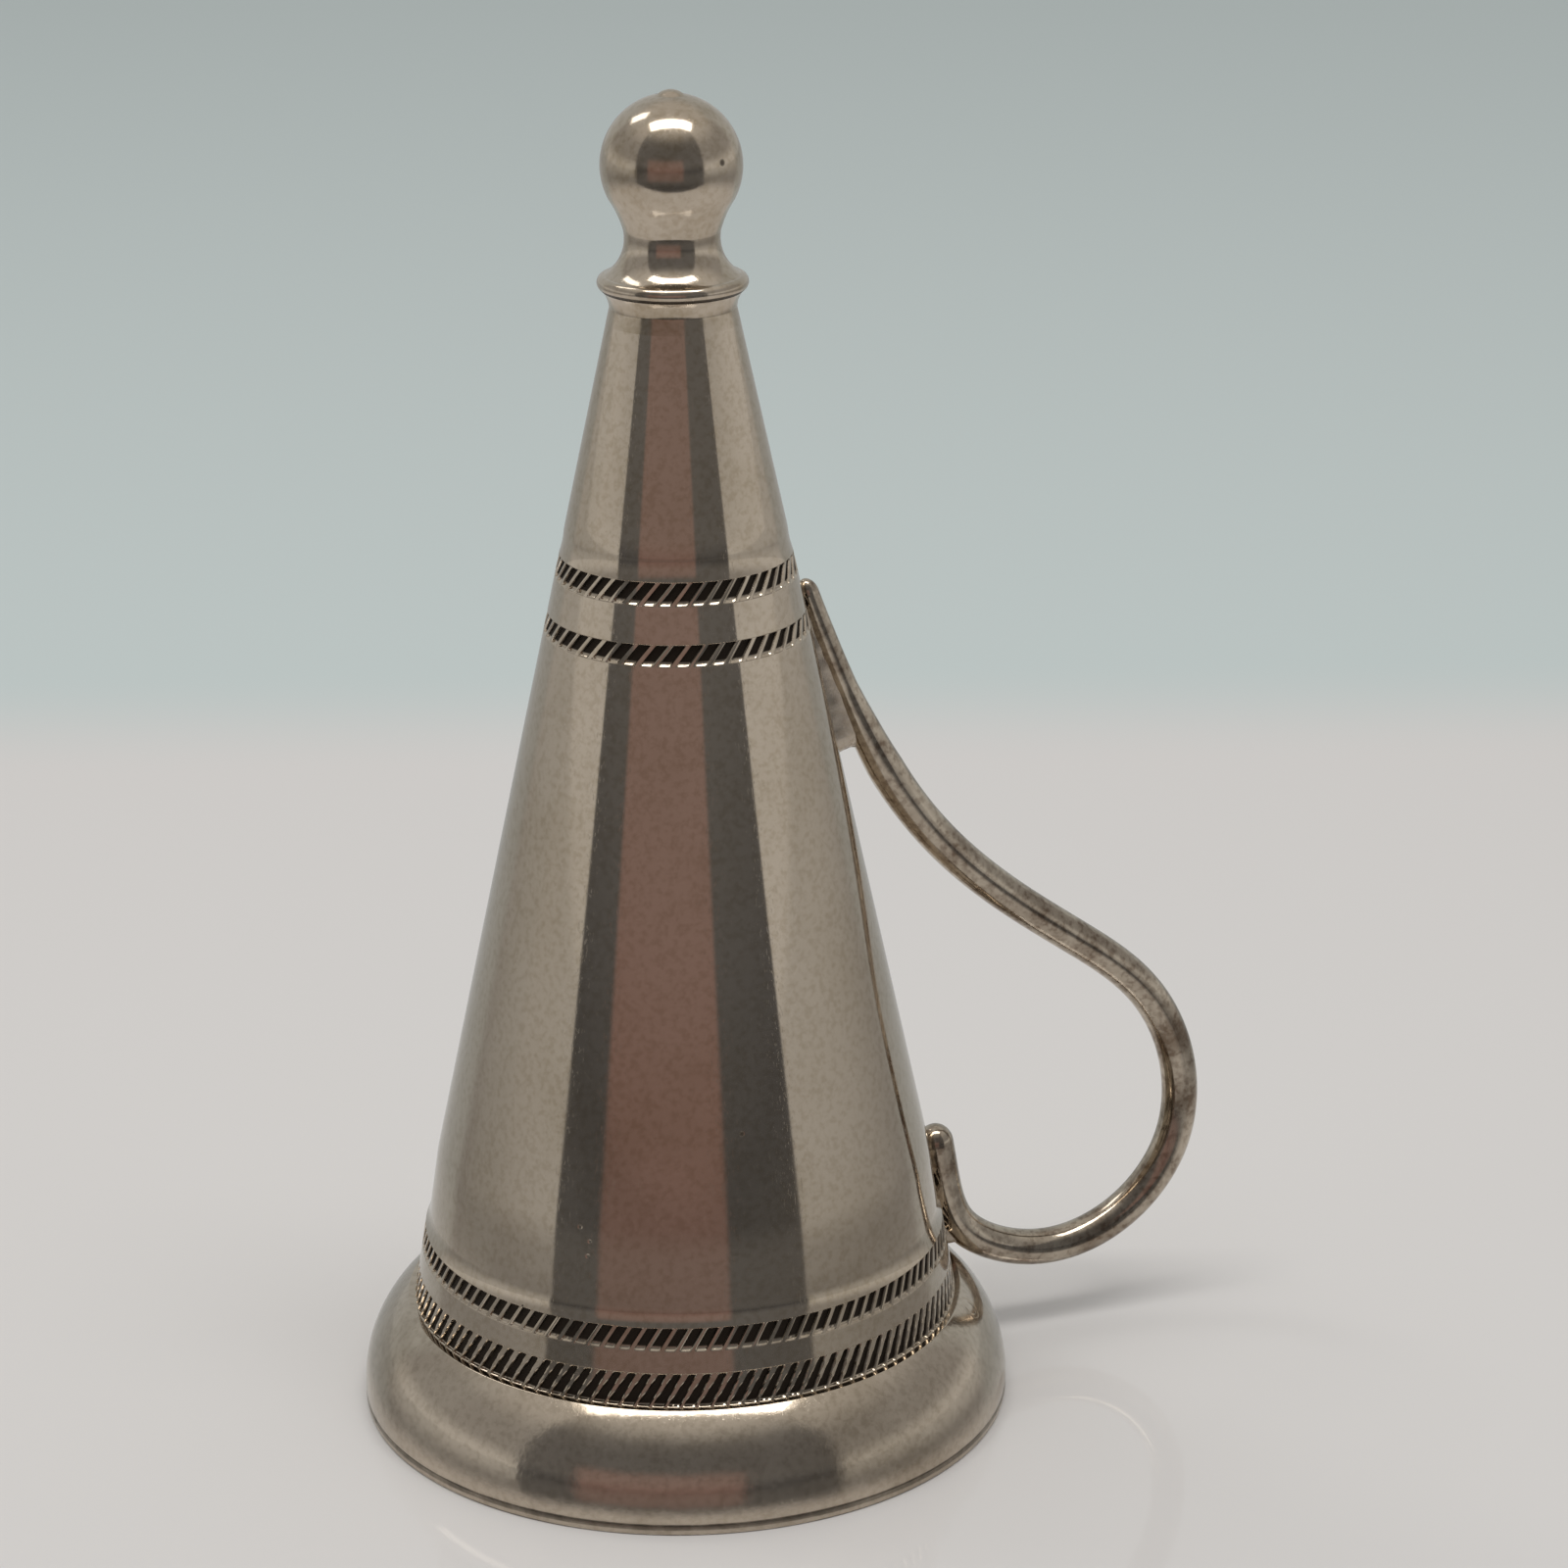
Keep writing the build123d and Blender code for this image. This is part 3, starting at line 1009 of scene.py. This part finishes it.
@dataclass
class Finial:
    """The cast finial: tang, ferrule, lip, waisted neck, ball and nub."""

    seat: float = field(default_factory=lambda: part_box("cone_shell")[1].z)
    tang_low: float = field(default_factory=lambda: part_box("finial_knob")[0].z)
    crown: float = field(default_factory=lambda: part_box("finial_knob")[1].z)
    lip_radius: float = field(default_factory=lambda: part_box("finial_knob")[1].y)
    tang_radius: float = 0.0022
    seat_radius: float = 0.0035
    ferrule_height: float = 0.0017
    ferrule_flush: float = 0.0008
    ferrule_slope: float = 0.217
    ferrule_flare: float = 0.00022
    ferrule_hollow: float = 0.00008
    lip_thickness: float = 0.0008
    flare_hollow: float = 0.00028
    neck_radius: float = 0.0025
    neck_rise: float = 0.0019
    ball_radius: float = 0.00369
    ball_seat_radius: float = 0.0028
    nub_radius: float = 0.0007
    nub_height: float = 0.0002

    def build(self, turnery: Turnery, material: bpy.types.Material) -> None:
        """Turn the finial in one piece.

        Args:
            turnery: the lathe work.
            material: the casting's material.
        """
        lip_low = self.seat + self.ferrule_height
        lip_top = lip_low + self.lip_thickness
        ball = self.crown - self.nub_height - self.ball_radius
        shoulder = self.lip_radius - self.lip_thickness / 2
        flare, neck = (shoulder, lip_top), (self.neck_radius, lip_top + self.neck_rise)
        ball_seat = (self.ball_seat_radius, ball - sqrt(self.ball_radius**2 - self.ball_seat_radius**2))
        nub_seat = (self.nub_radius, ball + sqrt(self.ball_radius**2 - self.nub_radius**2))
        outline = Outline(closed=False, row=0.0004)
        outline.run([(0.0, self.tang_low)], recess=0.5)
        outline.corner(self.tang_radius, self.tang_low, recess=0.5)
        outline.corner(self.tang_radius, self.seat, recess=0.5)
        waist = (self.seat_radius - self.ferrule_slope * self.ferrule_flush, self.seat + self.ferrule_flush)
        collar, half = self.seat_radius + self.ferrule_flare, self.lip_thickness / 2
        under = (collar, lip_low + half - sqrt(half**2 - (collar - shoulder) ** 2))
        outline.run([(self.seat_radius, self.seat)])
        outline.corner(*waist, ease=self.lip_thickness / 4)
        outline.run(bowed(waist, under, self.ferrule_hollow)[1:-1])
        # Painted shade: the recess marks on the corner under the lip and on the first stretch of the lip's
        # round paint in the dark line of shade under the lip.
        outline.corner(*under, recess=1.0)
        lip = arc_through(under, (self.lip_radius, lip_low + half), flare)
        outline.run(lip[1:4], recess=0.7)
        outline.run(lip[4:-1])
        outline.corner(*flare, ease=self.lip_thickness / 4)
        outline.run(bowed(flare, neck, self.flare_hollow, 20)[1:])
        bulge = (neck[0] + (ball_seat[0] - neck[0]) / 4, (neck[1] + ball_seat[1]) / 2)
        throat = arc_through(neck, bulge, ball_seat, 14)[1:5]
        sphere = arc_through(ball_seat, (self.ball_radius, ball), nub_seat, 48)[5:]
        outline.run(throat)
        outline.run(eased_bend(throat[-1], ball_seat, sphere[0]))
        outline.run(sphere[1:])
        rise = self.crown - nub_seat[1]
        dome = (self.nub_radius**2 + rise**2) / (2 * rise)
        sweep = asin(self.nub_radius / dome)
        for step in range(5, -1, -1):
            angle = sweep * step / 6
            outline.run([(dome * sin(angle), self.crown - dome + dome * cos(angle))])
        settle(turnery.turn("silver_finial", outline, material), Slot.CAST, "finial_knob")


@dataclass(frozen=True)
class Web:
    """A web of solder: the stretch of wire that it holds, and half its width on the cone and at its waist."""

    name: str
    node: str
    shares: Pair
    spread: float
    waist: float


@dataclass
class Handle:
    """The scrolled wire handle and the webs of solder that hold it to the cone."""

    cone: Cone
    low: float = 0.00455
    head: float = 0.0463
    bow: float = 0.0166
    diameter: float = 0.00206
    steps: int = 260
    sides: int = 32
    # Centre line from head to tail: share of the height from low to head, share of the bow
    route_shares: tuple[Pair, ...] = (
        (1.0, 0.030), (0.911, 0.062), (0.839, 0.097), (0.732, 0.170), (0.627, 0.299), (0.535, 0.490),
        (0.453, 0.721), (0.365, 0.929), (0.246, 1.006), (0.124, 0.927), (0.033, 0.701), (0.0, 0.443),
        (0.014, 0.241), (0.063, 0.094), (0.117, 0.067), (0.208, 0.068),
    )
    # Thickness along the way: share of the length, share of the diameter
    taper_shares: tuple[Pair, ...] = (
        (0.0, 0.54), (0.012, 0.58), (0.05, 0.64), (0.10, 0.68), (0.14, 0.86), (0.18, 1.0), (1.0, 1.0),
    )
    head_round_share: float = 0.012
    tail_round_share: float = 0.016
    webs: tuple[Web, ...] = (
        Web("upper_solder_web", "upper_handle_solder", (0.006, 0.165), 0.00042, 0.0003),
        Web("lower_solder_web", "lower_handle_solder", (0.878, 0.945), 0.0006, 0.0004),
    )
    web_stations: int = 40
    web_across: int = 12
    web_sunk: float = 0.00012
    web_notch: float = 0.0006
    web_hold: float = 0.9
    web_end_share: float = 0.12
    lump_scale: float = 1500.0
    lump_height: float = 4.0e-5

    def route(self, shares: np.ndarray) -> np.ndarray:
        """Points of the centre line.

        Args:
            shares: shares of the line's length.

        Returns:
            The x and z of each point.
        """
        rises = [self.low + rise * (self.head - self.low) for rise, _ in self.route_shares]
        reach = [self.cone.wall(z)[0] + bow * self.bow for z, (_, bow) in zip(rises, self.route_shares)]
        return smooth_line(np.column_stack((reach, rises)), shares)

    def half_thickness(self, shares: np.ndarray) -> np.ndarray:
        """Half the wire's thickness at shares of its length, with both ends rounded off."""
        half = np.interp(shares, *zip(*self.taper_shares)) * self.diameter / 2
        for ends, length in ((shares, self.head_round_share), (1 - shares, self.tail_round_share)):
            half = half * np.sqrt(1 - (1 - np.clip(ends / length, 0.002, 1)) ** 2)
        return half

    def build(self, form: WireForm, wire: bpy.types.Material, solder: bpy.types.Material) -> None:
        """Sweep the wire and fill its two joints with solder.

        Args:
            form: the tree that sweeps and files the wire.
            wire: the wire's material.
            solder: the solder's material.
        """
        ends = np.linspace(0, self.tail_round_share, 12) ** 2 / self.tail_round_share
        shares = np.unique(np.concatenate((np.linspace(0, 1, self.steps), ends, 1 - ends)))
        points = [(x, 0.0, z) for x, z in self.route(shares)]
        marks = {"thickness": list(self.half_thickness(shares))}
        levels = {}
        for level, height, radius in zip(form.levels, self.cone.heights, self.cone.radii):
            levels |= {f"{level}_height": height, f"{level}_radius": radius}
        piece = form.make(line_object("silver_handle", points, marks), wire, Sides=self.sides, **levels)
        settle(piece, Slot.WIRE, "handle_wire")
        for web in self.webs:
            settle(self.fill(web, solder), Slot.SOLDER, web.node)

    def fill(self, web: Web, material: bpy.types.Material) -> bpy.types.Object:
        """Fill the gap between the cone and a stretch of the wire, hollow at its sides and at its open end.

        Args:
            web: the web's place and widths.
            material: the solder's material.

        Returns:
            The finished web.
        """
        stations, across = self.web_stations, self.web_across
        along = np.linspace(*web.shares, stations)
        line, thick = self.route(along), self.half_thickness(along)
        rings = []
        for station, ((x, z), half) in enumerate(zip(line, thick)):
            from_end = min(station, stations - 1 - station) / (stations - 1)
            close = sqrt(1 - (1 - min(1.0, from_end / self.web_end_share + 0.01)) ** 2)
            side = []
            for step in range(across + 1):
                t = step / across
                wide = (1 - t) ** 2 * web.spread + 2 * t * (1 - t) * web.waist + t**2 * half * self.web_hold
                wide *= close
                reach = (self.cone.wall(z)[0] - self.web_sunk) * (1 - t) + x * t
                lump = noise.noise(Vector((reach, z, wide)) * self.lump_scale) * self.lump_height
                drop = self.web_notch * 4 * t * (1 - t) * (station / stations) ** 4
                side.append((reach, wide + lump * close, z + drop))
            rings.append(side + [(x, -y, z) for x, y, z in reversed(side)])
        return lofted(web.name, rings, material)


def smooth_line(points: np.ndarray, shares: np.ndarray) -> np.ndarray:
    """Points of the cubic curve that runs smoothly through the given points.

    Args:
        points: the points that the curve passes.
        shares: shares of the curve's length.

    Returns:
        The curve's points at those shares.
    """
    knots = np.concatenate(([0.0], np.cumsum(np.linalg.norm(np.diff(points, axis=0), axis=1))))
    count, near, dense = len(points), 4, 4000
    matrix, right = np.eye(count), np.zeros_like(points)
    for row, part in ((0, slice(None, near)), (count - 1, slice(-near, None))):
        cubic = np.polyfit(knots[part], points[part], near - 1)
        right[row] = [np.polyval(np.polyder(cubic[:, axis]), knots[row]) for axis in range(points.shape[1])]
    steps = np.diff(knots)
    slopes = np.diff(points, axis=0) / steps[:, None]
    for row in range(1, count - 1):
        before, after = steps[row - 1], steps[row]
        matrix[row, row - 1 : row + 2] = after, 2 * (before + after), before
        right[row] = 3 * (after * slopes[row - 1] + before * slopes[row])
    tangents = np.linalg.solve(matrix, right)
    at = np.linspace(0, knots[-1], dense)
    span = np.clip(np.searchsorted(knots, at, side="right") - 1, 0, count - 2)
    t, step = ((at - knots[span]) / steps[span])[:, None], steps[span][:, None]
    curve = (
        (2 * t**3 - 3 * t**2 + 1) * points[span] + (t**3 - 2 * t**2 + t) * step * tangents[span]
        + (3 * t**2 - 2 * t**3) * points[span + 1] + (t**3 - t**2) * step * tangents[span + 1]
    )
    length = np.concatenate(([0.0], np.cumsum(np.linalg.norm(np.diff(curve, axis=0), axis=1))))
    along = length / length[-1]
    return np.column_stack([np.interp(shares, along, curve[:, axis]) for axis in range(points.shape[1])])


@dataclass
class SolderRings:
    """The three rings of solder inside: round the tang, on the skirt's ledge and on the foot ring."""

    cone: Cone
    base: Base
    finial: Finial
    leg: float = 0.00045
    sink: float = 0.0003

    def build(self, turnery: Turnery, material: bpy.types.Material) -> None:
        """Turn the three rings.

        Args:
            turnery: the lathe work.
            material: the solder's material.
        """
        mouth = self.cone.wall(self.cone.foot, self.cone.sheet)[0]
        foot = self.base.foot_radius - self.base.sheet
        corners = (
            ("skirt_solder_ring", "skirt_solder", mouth, self.cone.foot),
            ("foot_solder_ring", "foot_solder", foot, self.base.ring_height),
        )
        for name, node, radius, height in corners:
            fillet = Outline(row=0.0003)
            fillet.corner(radius - self.leg, height)
            fillet.corner(radius + self.sink, height)
            fillet.corner(radius + self.sink, height + self.leg)
            face = bowed((radius, height + self.leg), (radius - self.leg, height), self.leg / 5)
            fillet.run(face[:-1], recess=0.2)
            settle(turnery.turn(name, fillet, material), Slot.SOLDER, node)
        tang, low, top = self.finial.tang_radius, self.finial.tang_low, self.cone.top
        plug = Outline(row=0.0003)
        plug.run(bowed((tang, low), (self.cone.wall(low, self.cone.sheet)[0], low), self.leg / 3), recess=0.3)
        plug.corner(*self.cone.wall(top, self.cone.sheet))
        plug.corner(tang, top)
        settle(turnery.turn("finial_solder_ring", plug, material), Slot.SOLDER, "finial_solder")


# Turn of the picture's front about the snuffer's axis, since the handle lies along +X
FRONT_TURN = radians(-19.0)


@dataclass(frozen=True)
class Lamp:
    """A soft rectangular lamp that looks at the origin: its place, size and brightness."""

    name: str
    place: Colour
    size: Pair
    level: float


@dataclass
class Studio:
    """A pale polished floor under soft light, with a dim front that gives the metal its dark stripe."""

    floor_radius: float = 3.0
    floor_colour: Colour = (0.78, 0.775, 0.78)
    far_colour: Colour = (0.645, 0.735, 0.75)
    far_edge: float = 0.12
    far_soft: float = 0.014
    floor_roughness: float = 0.5
    polish_roughness: float = 0.04
    polish_share: float = 0.07
    polish_facing: Pair = (0.5, 0.75)
    polish_gain: float = 1.5
    front_edge: float = -0.105
    front_soft: float = 0.004
    side_light: Colour = (0.64, 0.63, 0.61)
    upper_light: Colour = (0.37, 0.36, 0.35)
    high_light: Colour = (0.60, 0.58, 0.55)
    back_light: Colour = (0.50, 0.51, 0.50)
    front_light: Colour = (0.085, 0.086, 0.092)
    centre_light: Colour = (0.26, 0.165, 0.15)
    background: Colour = (0.66, 0.68, 0.68)
    lamp_colour: Colour = (1.0, 0.97, 0.93)
    lamps: tuple[Lamp, ...] = (
        Lamp("overhead_softbox", (0.0, -0.09, 0.55), (0.50, 0.14), 5.5),
        Lamp("rear_softbox", (-0.33, 0.23, 0.54), (0.12, 0.22), 2.4),
    )
    # Directions in degrees: sectors from the front, and heights between which one light gives way to another
    front_sector: Pair = (-59.5, 53.5)
    front_low_fade: Pair = (-5.0, 16.0)
    front_low_share: float = 0.72
    front_high_fade: Pair = (40.0, 66.0)
    centre_sector: Pair = (-38.0, 19.0)
    centre_fade: Pair = (12.0, 20.0)
    rear_sides: Pair = (122.0, 132.0)
    rear_fade: Pair = (30.0, 60.0)
    dim_sector: Pair = (-118.0, -94.0)
    dim_share: float = 0.2
    upper_rise: Pair = (2.0, 15.0)
    high_rise: Pair = (28.0, 55.0)

    def from_front(self, graph: Graph, way: Socket) -> bpy.types.bpy_prop_collection:
        """Parts of a place or direction with the picture's front at -Y."""
        inputs = {"Vector": way, "Angle": -FRONT_TURN}
        turned = graph.add("ShaderNodeVectorRotate", inputs, rotation_type="Z_AXIS").outputs[0]
        return graph.add("ShaderNodeSeparateXYZ", {0: turned}).outputs

    def build_floor(self) -> None:
        """Lay the polished floor, whose far front shows dim to the metal alone."""
        rim = bmesh.new()
        bmesh.ops.create_circle(rim, cap_ends=True, segments=96, radius=self.floor_radius)
        mesh = bpy.data.meshes.new("pale_floor")
        rim.to_mesh(mesh)
        rim.free()
        material = bpy.data.materials.new("pale_board")
        material.use_nodes = True
        graph = Graph(material.node_tree)
        shader = material.node_tree.nodes["Principled BSDF"]
        shader.inputs["Roughness"].default_value = self.floor_roughness
        shader.inputs["Specular IOR Level"].default_value = 0.0
        place = self.from_front(graph, graph.add("ShaderNodeTexCoord").outputs["Object"])
        glossy = graph.add("ShaderNodeLightPath").outputs["Is Glossy Ray"]
        edge, soft = self.front_edge, self.front_soft
        dim = graph.math("MULTIPLY", glossy, graph.smooth(place[1], edge - soft, edge + soft, (1.0, 0.0)))
        back = graph.smooth(place[1], self.far_edge - self.far_soft, self.far_edge + self.far_soft)
        ground = graph.tint(back, self.floor_colour, self.far_colour)
        graph.tree.links.new(graph.tint(dim, ground, self.front_light), shader.inputs["Base Color"])
        facing = graph.add("ShaderNodeLayerWeight", {"Blend": 0.5}).outputs["Facing"]
        mirrored = graph.smooth(facing, *self.polish_facing, (self.polish_gain * self.polish_share, 1.0))
        share = graph.blend(glossy, self.polish_share, mirrored)
        polish = graph.add("ShaderNodeBsdfAnisotropic", {"Roughness": self.polish_roughness})
        mixed = graph.add("ShaderNodeMixShader", {0: share, 1: shader.outputs[0], 2: polish.outputs[0]})
        graph.tree.links.new(mixed.outputs[0], material.node_tree.nodes["Material Output"].inputs["Surface"])
        mesh.materials.append(material)
        placed("pale_floor", mesh)

    def build_lamps(self) -> None:
        """Hang the long soft lamp overhead and the small one behind, to the left."""
        for lamp in self.lamps:
            light = bpy.data.lights.new(lamp.name, "AREA")
            light.shape = "RECTANGLE"
            light.size, light.size_y = lamp.size
            light.energy = lamp.level * pi * lamp.size[0] * lamp.size[1]
            light.color = self.lamp_colour
            hung = bpy.data.objects.new(lamp.name, light)
            hung.location = Matrix.Rotation(FRONT_TURN, 3, "Z") @ Vector(lamp.place)
            hung.rotation_euler = (-hung.location).to_track_quat("-Z", "Y").to_euler()
            bpy.context.scene.collection.objects.link(hung)

    def turned(self, graph: Graph, angle: Socket, limits: Pair, to: Pair = (0.0, 1.0)) -> Socket:
        """Smooth step of an angle between two limits in degrees."""
        return graph.smooth(angle, radians(limits[0]), radians(limits[1]), to)

    def sector(self, graph: Graph, around: Socket, limits: Pair, soft: float) -> Socket:
        """Share of a sector of directions.

        Args:
            graph: the world's nodes.
            around: the direction's angle from the front.
            limits: where the sector begins and ends, in degrees.
            soft: half the width of its soft edges.

        Returns:
            The socket of the share, 1 inside the sector.
        """
        low, high = limits
        begun = self.turned(graph, around, (low - soft, low + soft))
        ended = self.turned(graph, around, (high - soft, high + soft), (1.0, 0.0))
        return graph.math("MULTIPLY", begun, ended)

    def build_world(self) -> None:
        """Light the room by direction: bright sides and top, a dim front and a duller back."""
        world = bpy.data.worlds.new("studio")
        world.use_nodes = True
        bpy.context.scene.world = world
        graph = Graph(world.node_tree)
        x, y, z = self.from_front(graph, graph.add("ShaderNodeTexCoord").outputs["Generated"])
        around = graph.math("ARCTAN2", x, graph.math("MULTIPLY", y, -1.0))
        up = graph.math("ARCSINE", z)
        falling = (1.0, 0.0)
        low_fade = self.turned(graph, up, self.front_low_fade, (1.0, self.front_low_share))
        fade = graph.math("MULTIPLY", low_fade, self.turned(graph, up, self.front_high_fade, falling))
        front = graph.math("MULTIPLY", self.sector(graph, around, self.front_sector, 0.6), fade)
        fade = self.turned(graph, up, self.centre_fade, falling)
        centre = graph.math("MULTIPLY", self.sector(graph, around, self.centre_sector, 1.5), fade)
        rear = self.turned(graph, graph.math("ABSOLUTE", around), self.rear_sides)
        rear = graph.math("MULTIPLY", rear, self.turned(graph, up, self.rear_fade, falling))
        dim = graph.math("MULTIPLY", self.sector(graph, around, self.dim_sector, 5.0), self.dim_share)
        rear = graph.math("MAXIMUM", rear, dim)
        sides = graph.tint(self.turned(graph, up, self.upper_rise), self.side_light, self.upper_light)
        sides = graph.tint(self.turned(graph, up, self.high_rise), sides, self.high_light)
        sides = graph.tint(rear, sides, self.back_light)
        room = graph.tint(front, sides, graph.tint(centre, self.front_light, self.centre_light))
        seen = graph.add("ShaderNodeLightPath").outputs["Is Camera Ray"]
        shown = graph.tint(seen, room, self.background)
        graph.tree.links.new(shown, world.node_tree.nodes["Background"].inputs["Color"])


@dataclass
class View:
    """The camera where the picture was taken from, looking down at the snuffer."""

    place: tuple[float, float, float] = (0.0, -0.216, 0.1103)
    yaw: float = 1.4985
    pitch: float = 19.092
    roll: float = -0.2265
    lens: float = 97.47
    sensor: float = 36.0
    clip: Pair = (0.005, 20.0)

    def build(self) -> None:
        """Set up the camera and make it the scene's own."""
        yaw, pitch, roll = (radians(angle) for angle in (self.yaw, self.pitch, self.roll))
        ahead = Vector((sin(yaw) * cos(pitch), cos(yaw) * cos(pitch), -sin(pitch)))
        level = Vector((cos(yaw), -sin(yaw), 0.0))
        over = level.cross(ahead)
        right = level * cos(roll) + over * sin(roll)
        up = over * cos(roll) - level * sin(roll)
        lens = bpy.data.cameras.new("view")
        lens.lens, lens.sensor_width = self.lens, self.sensor
        lens.clip_start, lens.clip_end = self.clip
        camera = bpy.data.objects.new("view", lens)
        turn = Matrix((right, up, -ahead)).transposed().to_4x4()
        about_axis = Matrix.Rotation(FRONT_TURN, 4, "Z")
        camera.matrix_world = about_axis @ Matrix.Translation(self.place) @ turn
        bpy.context.scene.collection.objects.link(camera)
        bpy.context.scene.camera = camera


def main() -> None:
    """Build the snuffer's pieces in order, then the studio and the camera."""
    logging.basicConfig(level=logging.INFO, format="%(name)s: %(message)s")
    turnery, cone, base, finial = Turnery(), Cone(), Base(), Finial()
    sheet, skirt, cast, wire, solder = (
        finish.material() for finish in (SHEET_FINISH, SKIRT_FINISH, CAST_FINISH, WIRE_FINISH, SOLDER_FINISH)
    )
    cone.build(turnery, sheet)
    cone.build_seam(solder)
    base.build(turnery, skirt)
    finial.build(turnery, cast)
    Handle(cone).build(WireForm(), wire, solder)
    SolderRings(cone, base, finial).build(turnery, solder)
    studio = Studio()
    studio.build_floor()
    studio.build_lamps()
    studio.build_world()
    View().build()
    bpy.context.scene.view_settings.view_transform = "Standard"
    bpy.context.view_layer.update()


if __name__ == "__main__":
    main()
